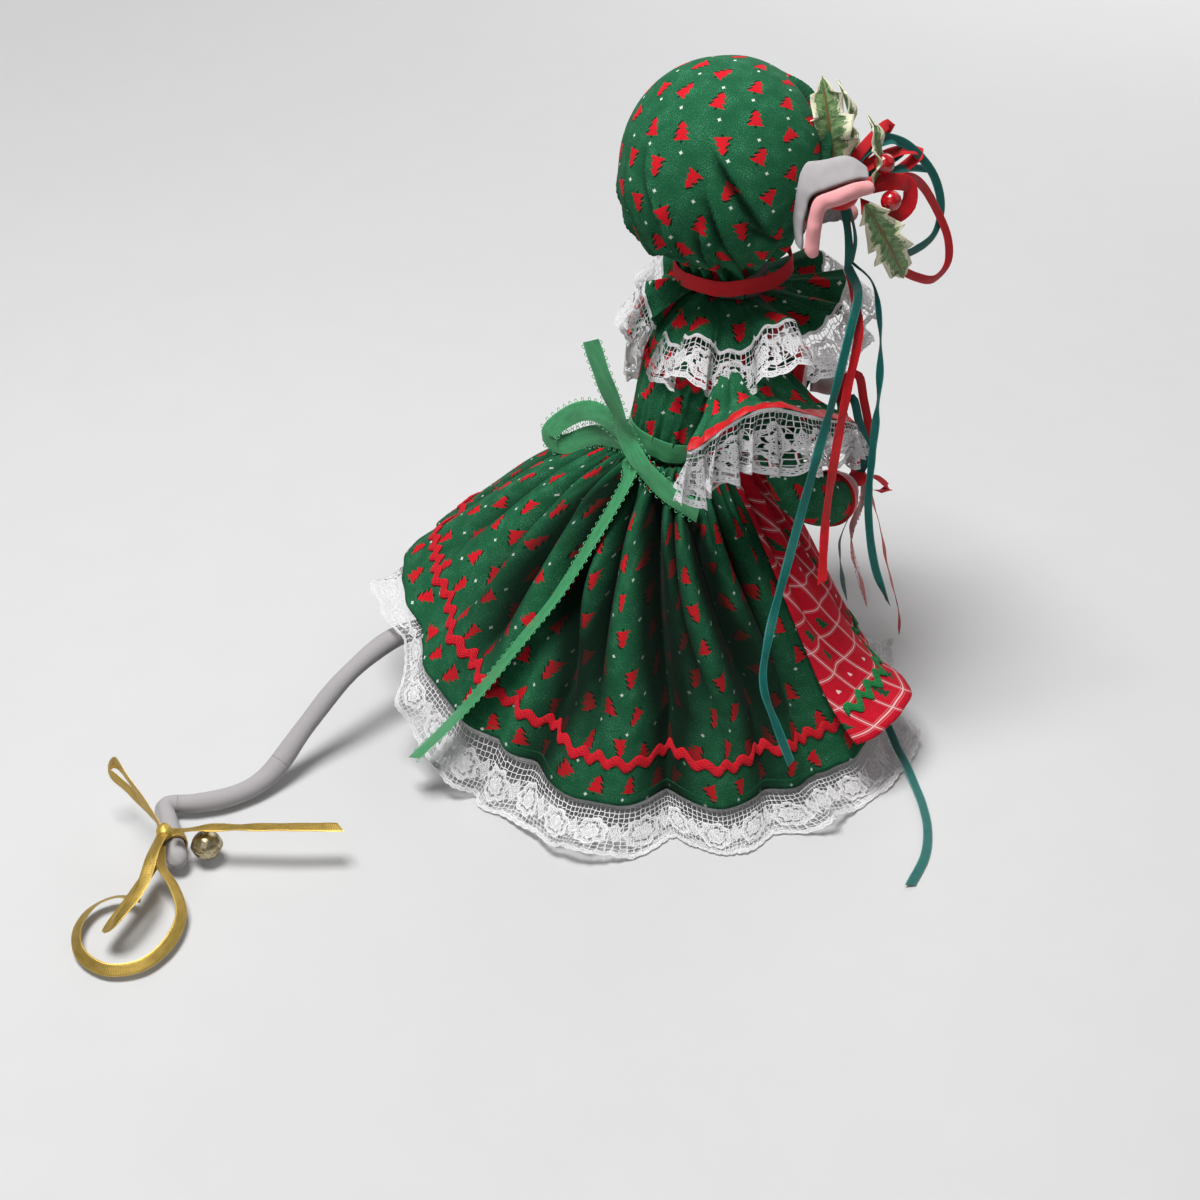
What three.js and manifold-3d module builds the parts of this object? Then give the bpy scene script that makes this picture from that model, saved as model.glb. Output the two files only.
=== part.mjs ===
// A stuffed mouse doll in a gathered dress, standing on a weighted base.
// Millimetres, +Z up. The doll faces -Y and its right side is -X. The origin is the
// centre of the base's flat underside. An azimuth of 0 degrees is the doll's back (+Y),
// 90 is its right (-X) and 180 its front (-Y).

import * as THREE from "three";
import Module from "manifold-3d";

const wasm = await Module();
wasm.setup();

// Shared clearances
const GAP = 0.35;
const JOINT_GAP = 0.3;

// Base and stuffed underbody
const BASE_RADIUS = 58;
const BASE_THICKNESS = 3;
const BASE_CHAMFER = 0.8;
const BODY_BASE_RADIUS = 62;

// Skirt, in the order from waist to hem
const SKIRT_TOP = 97;
const WAIST_RADIUS = 19.5;
const WAIST_Y = -12;
const HEM_RADIUS = 93;
const HEM_Y = -7;
const HEM_HEIGHT = 10;
const FRONT_HEM_TUCK = 30;
const LIFTED_HEM_RADIUS = 92;
const LIFTED_HEM_HEIGHT = 45;
const LIFT_AZIMUTH = -30;
const LIFT_SPREAD = 50;
const SKIRT_FOLDS = 10;
const FOLD_VALLEY_AZIMUTH = 28;
const FOLD_DEPTH_WAIST = 1;
const FOLD_DEPTH_HEM = 4.6;
const COTTON_THICKNESS = 1.2;
const SKIRT_ROWS = 5;
const COLUMNS_PER_FOLD = 6;
const SKIRT_TRIM_FALL = 0.87;

// Petticoat with its lace ruffle
const PETTICOAT_THICKNESS = 1;
const PETTICOAT_TOP_ROW = 3;
const LACE_REACH = 12;
const LACE_CLEAR_OF_FLOOR = 0.9;
const LACE_DROP = 14;
const TAIL_AZIMUTH = -13;
const TAIL_NOTCH_SPREAD = 16;
const LACE_WAVES = 20;
const LACE_WAVE_DEPTH = 1.6;

// Apron
const APRON_CENTRE_AZIMUTH = 181;
const APRON_HALF_SPAN = 75;
const APRON_TOP_FALL = 0.05;
const APRON_HEM_FALL = 0.94;
const APRON_FLARE = 25;
const APRON_FLARE_START = 7;
const APRON_FLARE_OFF_CENTRE = 60;
const APRON_FLARE_SPREAD = 20;
const APRON_TRIM_FALL = 0.84;

// Rickrack braid
const RICKRACK_WIDTH = 3.2;
const RICKRACK_SWING = 1.7;
const RICKRACK_THICKNESS = 0.8;

// Bodice and shoulders
const BODICE_TOP = 151;
const CHEST_HALF_WIDTH = 21.5;
const CHEST_HALF_DEPTH = 19;
const SHOULDER_Y = -22;
const SHOULDER_Z = 137;
const SHOULDER_HALF_WIDTH = 23;
const SHOULDER_RADIUS = 7;
const SASH_WIDTH = 7;
const YOKE_TRIM_Z = 126;

// Neck
const NECK_Y = -30;
const NECK_DOWEL_RADIUS = 4;
const NECK_DOWEL_IN_BODICE = 20;
const NECK_DOWEL_IN_HEAD = 32;
const NECK_STUB_RADIUS = 11.5;

// Collar
const COLLAR_INNER_RADIUS = 13;
const COLLAR_SEAT = 1;
const COLLAR_STAND = 0.7;
const COLLAR_SEAM_RADIUS = 32;
const COLLAR_RIM_RADIUS = 47;
const COLLAR_BACK_TUCK = 6;
const COLLAR_RIM_Y = -36;
const COLLAR_SIDE_DROP = 10;
const COLLAR_BACK_DROP = 11;
const COLLAR_FRONT_RISE = 4;
const COLLAR_WAVES = 10;
const COLLAR_WAVE_DEPTH = 5;
const COLLAR_SLIT = 5;
const TRIM_LACE_THICKNESS = 1;

// Head and hood
const HEAD_RADIUS = 31.2;
const HEAD_CENTRE = new THREE.Vector3(0, -26, 195);
const SNOUT_DROOP = 28.4;
const SNOUT_LENGTH = 52;
const SNOUT_TIP_RADIUS = 5;
const SNOUT_START = 12;
const NOSE_RADIUS = 3.8;
const EYE_RADIUS = 3;
const EYE_ALONG_SNOUT = 32;
const EYE_SPREAD = 48;
const HOOD_THICKNESS = 1.6;
const HOOD_EASE = 0.95;
const HOOD_BRIM_AT = 13;
const HOOD_NECK_RADIUS = 16.5;
const HOOD_PLEATS = 9;
const HOOD_PLEAT_DEPTH = 0.8;
const NECK_RIBBON_WIDTH = 6;
const NECK_RIBBON_TILT = 13;

// Ears
const EAR_RADIUS = 13;
const EAR_CUP_RADIUS = 17;
const EAR_FELT = 1.8;
const EAR_LINING = 1;
const EAR_SETBACK = -0.5;

// Arms, given for the doll's left side (+X) with the arm at its lowest
const CUFF_CENTRE = new THREE.Vector3(40, -26, 117);
const RIGHT_CUFF_LONG = 35;
const LEFT_CUFF_CENTRE = new THREE.Vector3(36, -36, 117);
const LEFT_CUFF_LONG = 29;
const LEFT_ARM_LIFT = 15;
const CUFF_SHORT = 13;
const CUFF_LACE_DROP = 18;
const CUFF_LACE_FRONT_RAISE = 6;
const CUFF_LACE_DROP_SPREAD = 6;
const CUFF_LACE_WAVES = 8;
const CUFF_LACE_FLARE = 2.4;
const FOREARM_RADIUS = 8.6;
const PAW_RADIUS = 6.6;
const SLEEVE_SAG = 1.8;
const SLEEVE_BAND_SHARE = 0.2;
const SLEEVE_BAND_THICKNESS = 0.9;
const FOREARM_ROUTE = [[-0.5, -4, -13], [-0.5, -10, -24.5], [-1.5, -20, -32.5], [-9, -31, -37]];

// Tail
const TAIL_RADIUS = 3.6;
const TAIL_BEND_ROOM = 0.72;

// Ribbons
const SATIN_THICKNESS = 0.5;
const NARROW_RIBBON = 3;
const PICOT_RIBBON = 7;
const WIDE_RIBBON = 6;
const GOLD_RIBBON = 4;
const GOLD_KNOT_RADIUS = 3;
const HAND_KNOT_RADIUS = 3.4;

// Holly
const LEAF_HALF_WIDTH = 6.5;
const LEAF_THICKNESS = 0.7;
const LEAF_SPIKES = 3;
const LEAF_FOLD = 0.35;
const BERRY_RADIUS = 3.4;
const CORSAGE_KNOT_RADIUS = 6.4;
const STREAMER_KNOT_RADIUS = 3;

// Jingle bell
const BELL_RADIUS = 5;
const BELL_WALL = 0.8;
const BELL_SLOT = 1.1;
const BELL_EYE_RADIUS = 0.95;
const BELL_EYE_WIRE = 0.4;
const PELLET_RADIUS = 1.2;

const finishes = {
  cotton: { color: 0x1c5c3a, roughness: 0.9 },
  lace: { color: 0xefecea, roughness: 0.85 },
  apron: { color: 0xbe1426, roughness: 0.9 },
  felt: { color: 0x9a979c, roughness: 1 },
  pinkFelt: { color: 0xe59696, roughness: 1 },
  redTrim: { color: 0xc81420, roughness: 0.7 },
  greenTrim: { color: 0x14823c, roughness: 0.7 },
  redSatin: { color: 0xcd1420, roughness: 0.4 },
  tealSatin: { color: 0x146e64, roughness: 0.4 },
  greenSatin: { color: 0x4ba06e, roughness: 0.4 },
  gold: { color: 0xbe963c, roughness: 0.3, metalness: 0.9 },
  leaf: { color: 0x738c5f, roughness: 0.6 },
  berry: { color: 0xb40a14, roughness: 0.2 },
  bead: { color: 0x101010, roughness: 0.15 },
  wood: { color: 0xb99768, roughness: 0.8 },
  card: { color: 0x8a7a66, roughness: 0.9 },
};

const doll = new THREE.Group();

const vector = (x, y, z) => new THREE.Vector3(x, y, z);
const lerp = THREE.MathUtils.lerp;
const radians = THREE.MathUtils.degToRad;

/** Adds a named mesh to the doll, at the place its geometry already has. */
function add(name, geometry, finish) {
  const material = new THREE.MeshStandardMaterial(finishes[finish]);
  const mesh = new THREE.Mesh(geometry, material);
  mesh.name = name;
  doll.add(mesh);
  return mesh;
}

/** A point at an azimuth round an upright axis. */
function around(azimuth, radius, height, centreY) {
  const angle = radians(azimuth);
  return vector(-Math.sin(angle) * radius, centreY + Math.cos(angle) * radius, height);
}

/** The signed volume inside a triangle list. */
function signedVolume(points, triangles) {
  const cross = vector(0, 0, 0);
  let total = 0;
  for (const [a, b, c] of triangles) {
    total += cross.crossVectors(points[b], points[c]).dot(points[a]) / 6;
  }
  return total;
}

/** One closed geometry from points and triangles, turned so that its faces point out. */
function closedGeometry(points, triangles) {
  const inward = signedVolume(points, triangles) < 0;
  const order = inward ? triangles.map(([a, b, c]) => [a, c, b]) : triangles;
  const geometry = new THREE.BufferGeometry();
  const flat = points.flatMap((point) => [point.x, point.y, point.z]);
  geometry.setAttribute("position", new THREE.Float32BufferAttribute(flat, 3));
  geometry.setIndex(order.flat());
  geometry.computeVertexNormals();
  return geometry;
}

/** A cloth-like solid between an outer and an inner grid of points. */
function sheetSolid(outerAt, innerAt, columns, rows, wraps) {
  const points = [];
  const across = wraps ? columns : columns + 1;
  for (const at of [outerAt, innerAt]) {
    for (let row = 0; row <= rows; row += 1) {
      for (let column = 0; column < across; column += 1) {
        points.push(at(column, row));
      }
    }
  }
  const id = (side, column, row) => (side * (rows + 1) + row) * across + (column % across);
  const triangles = [];
  const quad = (a, b, c, d) => triangles.push([a, b, c], [a, c, d]);
  for (let column = 0; column < columns; column += 1) {
    for (let row = 0; row < rows; row += 1) {
      const outer = [id(0, column, row), id(0, column + 1, row), id(0, column + 1, row + 1), id(0, column, row + 1)];
      const inner = [id(1, column, row), id(1, column + 1, row), id(1, column + 1, row + 1), id(1, column, row + 1)];
      quad(...outer);
      triangles.push([inner[0], inner[2], inner[1]], [inner[0], inner[3], inner[2]]);
    }
    quad(id(0, column, 0), id(1, column, 0), id(1, column + 1, 0), id(0, column + 1, 0));
    quad(id(0, column, rows), id(0, column + 1, rows), id(1, column + 1, rows), id(1, column, rows));
  }
  if (!wraps) {
    for (let row = 0; row < rows; row += 1) {
      quad(id(0, 0, row), id(0, 0, row + 1), id(1, 0, row + 1), id(1, 0, row));
      quad(id(0, columns, row), id(1, columns, row), id(1, columns, row + 1), id(0, columns, row + 1));
    }
  }
  return closedGeometry(points, triangles);
}

/** A solid through rings of points, with flat ends, or closed on itself as a band. */
function loftSolid(rings, closed = false) {
  const count = rings[0].length;
  const points = rings.flat();
  const triangles = [];
  const spans = closed ? rings.length : rings.length - 1;
  for (let span = 0; span < spans; span += 1) {
    const here = span * count;
    const next = ((span + 1) % rings.length) * count;
    for (let side = 0; side < count; side += 1) {
      const after = (side + 1) % count;
      triangles.push([here + side, here + after, next + after], [here + side, next + after, next + side]);
    }
  }
  if (!closed) {
    for (const [ring, first, turned] of [[rings[0], 0, true], [rings.at(-1), (rings.length - 1) * count, false]]) {
      const middle = ring.reduce((sum, point) => sum.add(point), vector(0, 0, 0)).divideScalar(count);
      const centre = points.push(middle) - 1;
      for (let side = 0; side < count; side += 1) {
        const after = (side + 1) % count;
        triangles.push(turned ? [centre, first + after, first + side] : [centre, first + side, first + after]);
      }
    }
  }
  return closedGeometry(points, triangles);
}

/** An ellipse of points in the plane of two directions. */
function ellipse(centre, longDirection, shortDirection, long, short, count) {
  return Array.from({ length: count }, (_, index) => {
    const angle = (index / count) * 2 * Math.PI;
    return centre.clone()
      .addScaledVector(longDirection, long * Math.cos(angle))
      .addScaledVector(shortDirection, short * Math.sin(angle));
  });
}

/** A round stuffed tube along a path, with a radius for each share of its length. */
function limbRings(path, radiusAt, steps, sides, sideDirection) {
  const curve = new THREE.CatmullRomCurve3(path, false, "centripetal");
  return Array.from({ length: steps + 1 }, (_, step) => {
    const share = step / steps;
    const tangent = curve.getTangentAt(share);
    const short = sideDirection.clone().addScaledVector(tangent, -sideDirection.dot(tangent)).normalize();
    const long = short.clone().cross(tangent).normalize();
    return ellipse(curve.getPointAt(share), long, short, radiusAt(share), radiusAt(share), sides);
  });
}

/** The flat section of a ribbon round a point. */
function ribbonSection(point, tangent, facing, width, thickness) {
  const normal = facing.clone().addScaledVector(tangent, -facing.dot(tangent)).normalize();
  const side = tangent.clone().cross(normal);
  return [[1, 1], [-1, 1], [-1, -1], [1, -1]].map(([across, through]) => point.clone()
    .addScaledVector(side, (across * width) / 2)
    .addScaledVector(normal, (through * thickness) / 2));
}

/** A flat ribbon through hand-chosen points. The facing direction is the flat side's. */
function ribbonSolid(path, facings, width, steps, thickness = SATIN_THICKNESS) {
  const curve = new THREE.CatmullRomCurve3(path, false, "centripetal");
  const facingCurve = facings.length > 1 ? new THREE.CatmullRomCurve3(facings) : null;
  const rings = Array.from({ length: steps + 1 }, (_, step) => {
    const share = step / steps;
    const facing = facingCurve ? facingCurve.getPoint(share) : facings[0];
    return ribbonSection(curve.getPointAt(share), curve.getTangentAt(share), facing, width, thickness);
  });
  return loftSolid(rings);
}

/** The manifold solid of a closed geometry whose points are shared. */
function toManifold(geometry) {
  const source = geometry.index ? geometry : null;
  const vertProperties = new Float32Array(source.attributes.position.array);
  const triVerts = new Uint32Array(source.index.array);
  const mesh = new wasm.Mesh({ numProp: 3, vertProperties, triVerts });
  return new wasm.Manifold(mesh);
}

/** A three.js geometry from a manifold solid. */
function fromManifold(solid) {
  const mesh = solid.getMesh();
  const geometry = new THREE.BufferGeometry();
  geometry.setAttribute("position", new THREE.Float32BufferAttribute(Array.from(mesh.vertProperties), 3));
  geometry.setIndex(Array.from(mesh.triVerts));
  geometry.computeVertexNormals();
  return geometry;
}

/** A solid of revolution about +Z: rings at each [radius, height] of a profile. */
function turned(profile, sides) {
  const rings = profile.map(([radius, height]) => (
    ellipse(vector(0, 0, height), vector(1, 0, 0), vector(0, 1, 0), radius, radius, sides)
  ));
  return loftSolid(rings);
}

/** A profile of a ball between two polar angles, in degrees from the top. */
function ballProfile(radius, from, to, steps) {
  return Array.from({ length: steps + 1 }, (_, step) => {
    const angle = radians(lerp(from, to, step / steps));
    return [Math.max(radius * Math.sin(angle), 0.05), radius * Math.cos(angle)];
  });
}

const ball = (radius, sides, steps) => turned(ballProfile(radius, 2, 178, steps), sides);

/** Turns +Z of a geometry to a direction and moves it to a place. */
function aim(geometry, direction, place) {
  const turn = new THREE.Quaternion().setFromUnitVectors(vector(0, 0, 1), direction.clone().normalize());
  return geometry.clone().applyQuaternion(turn).translate(place.x, place.y, place.z);
}

/** A box centred on the origin, with shared corners. */
function box(width, height, depth) {
  const corners = [];
  for (const z of [-depth / 2, depth / 2]) {
    for (const [x, y] of [[-1, -1], [1, -1], [1, 1], [-1, 1]]) {
      corners.push(vector((x * width) / 2, (y * height) / 2, z));
    }
  }
  const quads = [[3, 2, 1, 0], [4, 5, 6, 7], [0, 1, 5, 4], [1, 2, 6, 5], [2, 3, 7, 6], [3, 0, 4, 7]];
  return closedGeometry(corners, quads.flatMap(([a, b, c, d]) => [[a, b, c], [a, c, d]]));
}

// Skirt surface, shared by every layer that lies on it or under it

/** How far the hem is lifted where the tail holds it up, from 0 to 1. */
function hemLift(azimuth) {
  const away = ((azimuth - LIFT_AZIMUTH + 540) % 360) - 180;
  return Math.exp(-((away / LIFT_SPREAD) ** 2));
}

/** Radius and height of the unfolded skirt at a fall of 0 at the waist and 1 at the hem. */
function skirtProfile(azimuth, fall) {
  const lift = hemLift(azimuth);
  const front = Math.max(-Math.cos(radians(azimuth)), 0) ** 2;
  const lowReach = HEM_RADIUS - FRONT_HEM_TUCK * front - WAIST_RADIUS;
  const lowRadius = WAIST_RADIUS + lowReach * fall ** 0.9;
  const highRadius = WAIST_RADIUS + (LIFTED_HEM_RADIUS - WAIST_RADIUS) * fall ** 0.95;
  const lowHeight = SKIRT_TOP - (SKIRT_TOP - HEM_HEIGHT) * fall;
  const highHeight = SKIRT_TOP - (SKIRT_TOP - LIFTED_HEM_HEIGHT) * fall ** 1.15;
  return new THREE.Vector2(lerp(lowRadius, highRadius, lift), lerp(lowHeight, highHeight, lift));
}

/** The folds' share of their depth: rounded crests at 1 and sharp valleys at -1. */
function pleat(azimuth) {
  const phase = radians(((azimuth - FOLD_VALLEY_AZIMUTH) * SKIRT_FOLDS) / 2);
  return 2 * Math.abs(Math.sin(phase)) ** 0.8 - 1;
}

/** A point on the folded skirt, moved out along its profile's normal. */
function foldedPoint(azimuth, fall, offset) {
  const step = 0.01;
  const here = skirtProfile(azimuth, fall);
  const below = skirtProfile(azimuth, fall + step);
  const above = skirtProfile(azimuth, Math.max(fall - step, 0));
  const along = below.sub(above).normalize();
  const depth = lerp(FOLD_DEPTH_WAIST, FOLD_DEPTH_HEM, fall ** 1.2);
  const radius = here.x + depth * pleat(azimuth) - along.y * offset;
  const height = here.y + along.x * offset;
  return around(azimuth, radius, height, lerp(WAIST_Y, HEM_Y, fall));
}

const skirtColumns = SKIRT_FOLDS * COLUMNS_PER_FOLD;
const columnAzimuth = (column) => FOLD_VALLEY_AZIMUTH + (column * 360) / skirtColumns;

/** A point on the skirt's facets, at a column that may lie between two of them. */
function facetPoint(column, fall, offset) {
  const row = Math.min(Math.floor(fall * SKIRT_ROWS), SKIRT_ROWS - 1);
  const share = fall * SKIRT_ROWS - row;
  const left = Math.floor(column);
  const corner = (c, r) => foldedPoint(columnAzimuth(c), r / SKIRT_ROWS, offset);
  const atColumn = (c) => corner(c, row).lerp(corner(c, row + 1), share);
  return atColumn(left).lerp(atColumn(left + 1), column - left);
}

const skirtInner = -COTTON_THICKNESS;
const petticoatOuter = skirtInner - GAP;
const petticoatInner = petticoatOuter - PETTICOAT_THICKNESS;
const bodyOuter = petticoatInner - GAP;

function buildSkirt() {
  const at = (offset) => (column, row) => foldedPoint(columnAzimuth(column), row / SKIRT_ROWS, offset);
  add("skirt", sheetSolid(at(0), at(skirtInner), skirtColumns, SKIRT_ROWS, true), "cotton");
}

/** The petticoat's rows: under the skirt first, then out past its hem as lace. */
function buildPetticoat() {
  const clothRows = SKIRT_ROWS - PETTICOAT_TOP_ROW;
  const laceRows = 2;
  const at = (offset) => (column, row) => {
    const azimuth = columnAzimuth(column);
    const fall = Math.min((PETTICOAT_TOP_ROW + row) / SKIRT_ROWS, 1);
    const point = foldedPoint(azimuth, fall, offset);
    const past = Math.max(row - clothRows, 0) / laceRows;
    const outward = around(azimuth, 1, 0, 0);
    const hem = foldedPoint(azimuth, 1, petticoatInner).z;
    const room = hem - LACE_CLEAR_OF_FLOOR;
    const wave = LACE_WAVE_DEPTH * Math.cos(radians(azimuth - FOLD_VALLEY_AZIMUTH) * LACE_WAVES);
    const fromTail = ((azimuth - TAIL_AZIMUTH + 540) % 360) - 180;
    const held = 1 - Math.exp(-((fromTail / TAIL_NOTCH_SPREAD) ** 2));
    point.addScaledVector(outward, (LACE_REACH + wave) * past);
    point.z -= Math.min(room, LACE_DROP * held) * past;
    return point;
  };
  const geometry = sheetSolid(at(petticoatOuter), at(petticoatInner), skirtColumns, clothRows + laceRows, true);
  add("petticoat", geometry, "lace");
}

const bodyBottom = BASE_THICKNESS + GAP;
const bodyTop = SKIRT_TOP + 0.7;
const bodiceBottom = bodyTop + GAP;

function buildBase() {
  const profile = [
    [BASE_RADIUS - BASE_CHAMFER, 0],
    [BASE_RADIUS, BASE_CHAMFER],
    [BASE_RADIUS, BASE_THICKNESS - BASE_CHAMFER],
    [BASE_RADIUS - BASE_CHAMFER, BASE_THICKNESS],
  ];
  add("base_board", turned(profile, 30), "card");
}

/** The stuffed lower body: it carries the skirt from inside and sits on the base. */
function buildBody() {
  const clothRows = SKIRT_ROWS - 1;
  const rings = [];
  const columns = Array.from({ length: skirtColumns }, (_, column) => columnAzimuth(column));
  rings.push(columns.map((azimuth) => around(azimuth, WAIST_RADIUS - 4.5, bodyTop, WAIST_Y)));
  for (let row = 0; row <= clothRows; row += 1) {
    rings.push(columns.map((azimuth) => foldedPoint(azimuth, row / SKIRT_ROWS, bodyOuter)));
  }
  rings.push(columns.map((azimuth) => around(azimuth, BODY_BASE_RADIUS, bodyBottom, 0)));
  add("lower_body", loftSolid(rings), "cotton");
}

/** A wavy braid that follows a path of columns on the skirt. */
function rickrack(columns, fall, offset, closed, place = facetPoint) {
  const hemLength = SKIRT_TOP - HEM_HEIGHT + HEM_RADIUS - WAIST_RADIUS;
  const toFall = 1.4 / hemLength;
  const rings = columns.map((column, index) => {
    const middle = fall + (index % 2 ? 1 : -1) * RICKRACK_SWING * toFall;
    const half = (RICKRACK_WIDTH / 2) * toFall;
    return [
      place(column, middle - half, offset),
      place(column, middle + half, offset),
      place(column, middle + half, offset + RICKRACK_THICKNESS),
      place(column, middle - half, offset + RICKRACK_THICKNESS),
    ];
  });
  return loftSolid(rings, closed);
}

function buildSkirtTrim() {
  const columns = Array.from({ length: skirtColumns * 2 }, (_, index) => index / 2);
  add("skirt_rickrack", rickrack(columns, SKIRT_TRIM_FALL, GAP, true), "redTrim");
}

// Apron, a layer over the skirt's front whose lower corners flare away from it

const apronFirstColumn = Math.round(((APRON_CENTRE_AZIMUTH - APRON_HALF_SPAN - FOLD_VALLEY_AZIMUTH) / 360) * skirtColumns);
const apronColumns = Math.round(((2 * APRON_HALF_SPAN) / 360) * skirtColumns);

function apronPoint(column, fall, offset) {
  const offCentre = Math.abs(columnAzimuth(column) - APRON_CENTRE_AZIMUTH);
  const corner = Math.exp(-(((offCentre - APRON_FLARE_OFF_CENTRE) / APRON_FLARE_SPREAD) ** 2));
  return facetPoint(column, fall, offset + APRON_FLARE * corner * fall ** APRON_FLARE_START);
}

const apronFalls = [APRON_TOP_FALL];
for (let row = 1; row < SKIRT_ROWS; row += 1) {
  apronFalls.push(row / SKIRT_ROWS);
}
apronFalls.push(APRON_HEM_FALL);

/** A point on the apron's own facets. */
function apronFacetPoint(column, fall, offset) {
  const row = apronFalls.findLastIndex((start, index) => start <= fall && index < apronFalls.length - 1);
  const share = (fall - apronFalls[row]) / (apronFalls[row + 1] - apronFalls[row]);
  const left = Math.floor(column);
  const corner = (c, r) => apronPoint(c, apronFalls[r], offset);
  const atColumn = (c) => corner(c, row).lerp(corner(c, row + 1), share);
  return atColumn(left).lerp(atColumn(left + 1), column - left);
}

function buildApron() {
  const at = (offset) => (column, row) => apronPoint(apronFirstColumn + column, apronFalls[row], offset);
  const inner = GAP + RICKRACK_THICKNESS + GAP;
  const outer = inner + COTTON_THICKNESS;
  add("apron", sheetSolid(at(outer), at(inner), apronColumns, apronFalls.length - 1, false), "apron");
  const columns = Array.from({ length: apronColumns * 2 - 3 }, (_, index) => apronFirstColumn + 1 + index / 2);
  const trim = rickrack(columns, APRON_TRIM_FALL, outer + 2 * GAP, false, apronFacetPoint);
  add("apron_rickrack", trim, "greenTrim");
}

// Bodice, neck and collar

/** Half width, half depth and centre of the bodice at a height. */
function bodiceSize(height) {
  const stations = [
    [bodiceBottom, WAIST_RADIUS - 1.5, WAIST_RADIUS - 2.5, WAIST_Y],
    [lerp(bodiceBottom, SHOULDER_Z, 0.45), CHEST_HALF_WIDTH, CHEST_HALF_DEPTH, -17],
    [SHOULDER_Z, CHEST_HALF_WIDTH, CHEST_HALF_DEPTH - 2, SHOULDER_Y],
    [BODICE_TOP - 3, CHEST_HALF_WIDTH - 4.5, CHEST_HALF_DEPTH - 4.5, -28],
    [BODICE_TOP, COLLAR_INNER_RADIUS + COLLAR_SEAT, COLLAR_INNER_RADIUS + COLLAR_SEAT, NECK_Y],
  ];
  const above = Math.max(stations.findIndex(([z]) => z >= height), 1);
  const [low, high] = [stations[above - 1], stations[above]];
  const share = (height - low[0]) / (high[0] - low[0]);
  return { width: lerp(low[1], high[1], share), depth: lerp(low[2], high[2], share), y: lerp(low[3], high[3], share) };
}

const bodiceSides = 24;

/** A ring round the bodice, moved out by an offset. */
function bodiceRing(height, offset) {
  const { width, depth, y } = bodiceSize(height);
  return ellipse(vector(0, y, height), vector(1, 0, 0), vector(0, 1, 0), width + offset, depth + offset, bodiceSides);
}

function buildBodice() {
  const heights = [bodiceBottom, 108, 117, 128, SHOULDER_Z, BODICE_TOP - 3, BODICE_TOP];
  const trunk = toManifold(loftSolid(heights.map((height) => bodiceRing(height, 0))));
  const bossProfile = [[SHOULDER_RADIUS, -SHOULDER_HALF_WIDTH], [SHOULDER_RADIUS, SHOULDER_HALF_WIDTH]];
  const boss = toManifold(aim(turned(bossProfile, 24), vector(1, 0, 0), vector(0, SHOULDER_Y, SHOULDER_Z)));
  const boreProfile = [
    [NECK_DOWEL_RADIUS + JOINT_GAP, BODICE_TOP - NECK_DOWEL_IN_BODICE - JOINT_GAP],
    [NECK_DOWEL_RADIUS + JOINT_GAP, BODICE_TOP + 1],
  ];
  const bore = toManifold(turned(boreProfile, 14).translate(0, NECK_Y, 0));
  add("bodice", fromManifold(trunk.add(boss).subtract(bore)), "cotton");
  const dowelProfile = [
    [NECK_DOWEL_RADIUS, BODICE_TOP - NECK_DOWEL_IN_BODICE],
    [NECK_DOWEL_RADIUS, BODICE_TOP + NECK_DOWEL_IN_HEAD],
  ];
  add("neck_dowel", turned(dowelProfile, 14).translate(0, NECK_Y, 0), "wood");
}

/** A flat band round the bodice between two heights. */
function bodiceBand(from, to, thickness) {
  const rings = [[from, GAP], [to, GAP], [to, GAP + thickness], [from, GAP + thickness]];
  const loops = rings.map(([height, offset]) => bodiceRing(height, offset));
  return loftSolid(loops, true);
}

const sashBottom = bodiceBottom + 0.6;
const sashTop = sashBottom + SASH_WIDTH;

function buildBodiceTrims() {
  add("waist_sash", bodiceBand(sashBottom, sashTop, SATIN_THICKNESS + 0.2), "greenSatin");
  add("yoke_rickrack", bodiceBand(YOKE_TRIM_Z, YOKE_TRIM_Z + RICKRACK_WIDTH, RICKRACK_THICKNESS), "redTrim");
}

const collarTop = BODICE_TOP + COLLAR_STAND + COTTON_THICKNESS;

/** A point on the ruffled collar, with its radius between the neck and the rim. */
function collarPoint(azimuth, radius, offset) {
  const back = Math.max(Math.cos(radians(azimuth)), 0) ** 2;
  const front = Math.max(-Math.cos(radians(azimuth)), 0) ** 2;
  const share = (radius - COLLAR_INNER_RADIUS) / (COLLAR_RIM_RADIUS - COLLAR_INNER_RADIUS);
  const drop = COLLAR_SIDE_DROP + COLLAR_BACK_DROP * back - COLLAR_FRONT_RISE * front;
  const wave = COLLAR_WAVE_DEPTH * Math.cos(radians(azimuth * COLLAR_WAVES)) * share ** 1.5;
  const height = collarTop - drop * share ** 1.4 + wave + offset;
  return around(azimuth, radius - COLLAR_BACK_TUCK * back * share, height, lerp(NECK_Y, COLLAR_RIM_Y, share));
}

function buildCollar() {
  const columns = 50;
  const azimuthAt = (column) => lerp(COLLAR_SLIT, 360 - COLLAR_SLIT, column / columns);
  const ruffle = (inner, outer, rows, thickness) => {
    const at = (offset) => (column, row) => collarPoint(azimuthAt(column), lerp(inner, outer, row / rows), offset);
    return sheetSolid(at(0), at(-thickness), columns, rows, false);
  };
  add("collar", ruffle(COLLAR_INNER_RADIUS, COLLAR_SEAM_RADIUS, 2, COTTON_THICKNESS), "cotton");
  const lace = ruffle(COLLAR_SEAM_RADIUS + GAP, COLLAR_RIM_RADIUS, 2, TRIM_LACE_THICKNESS);
  add("collar_lace", lace, "lace");
}

// Head

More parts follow.
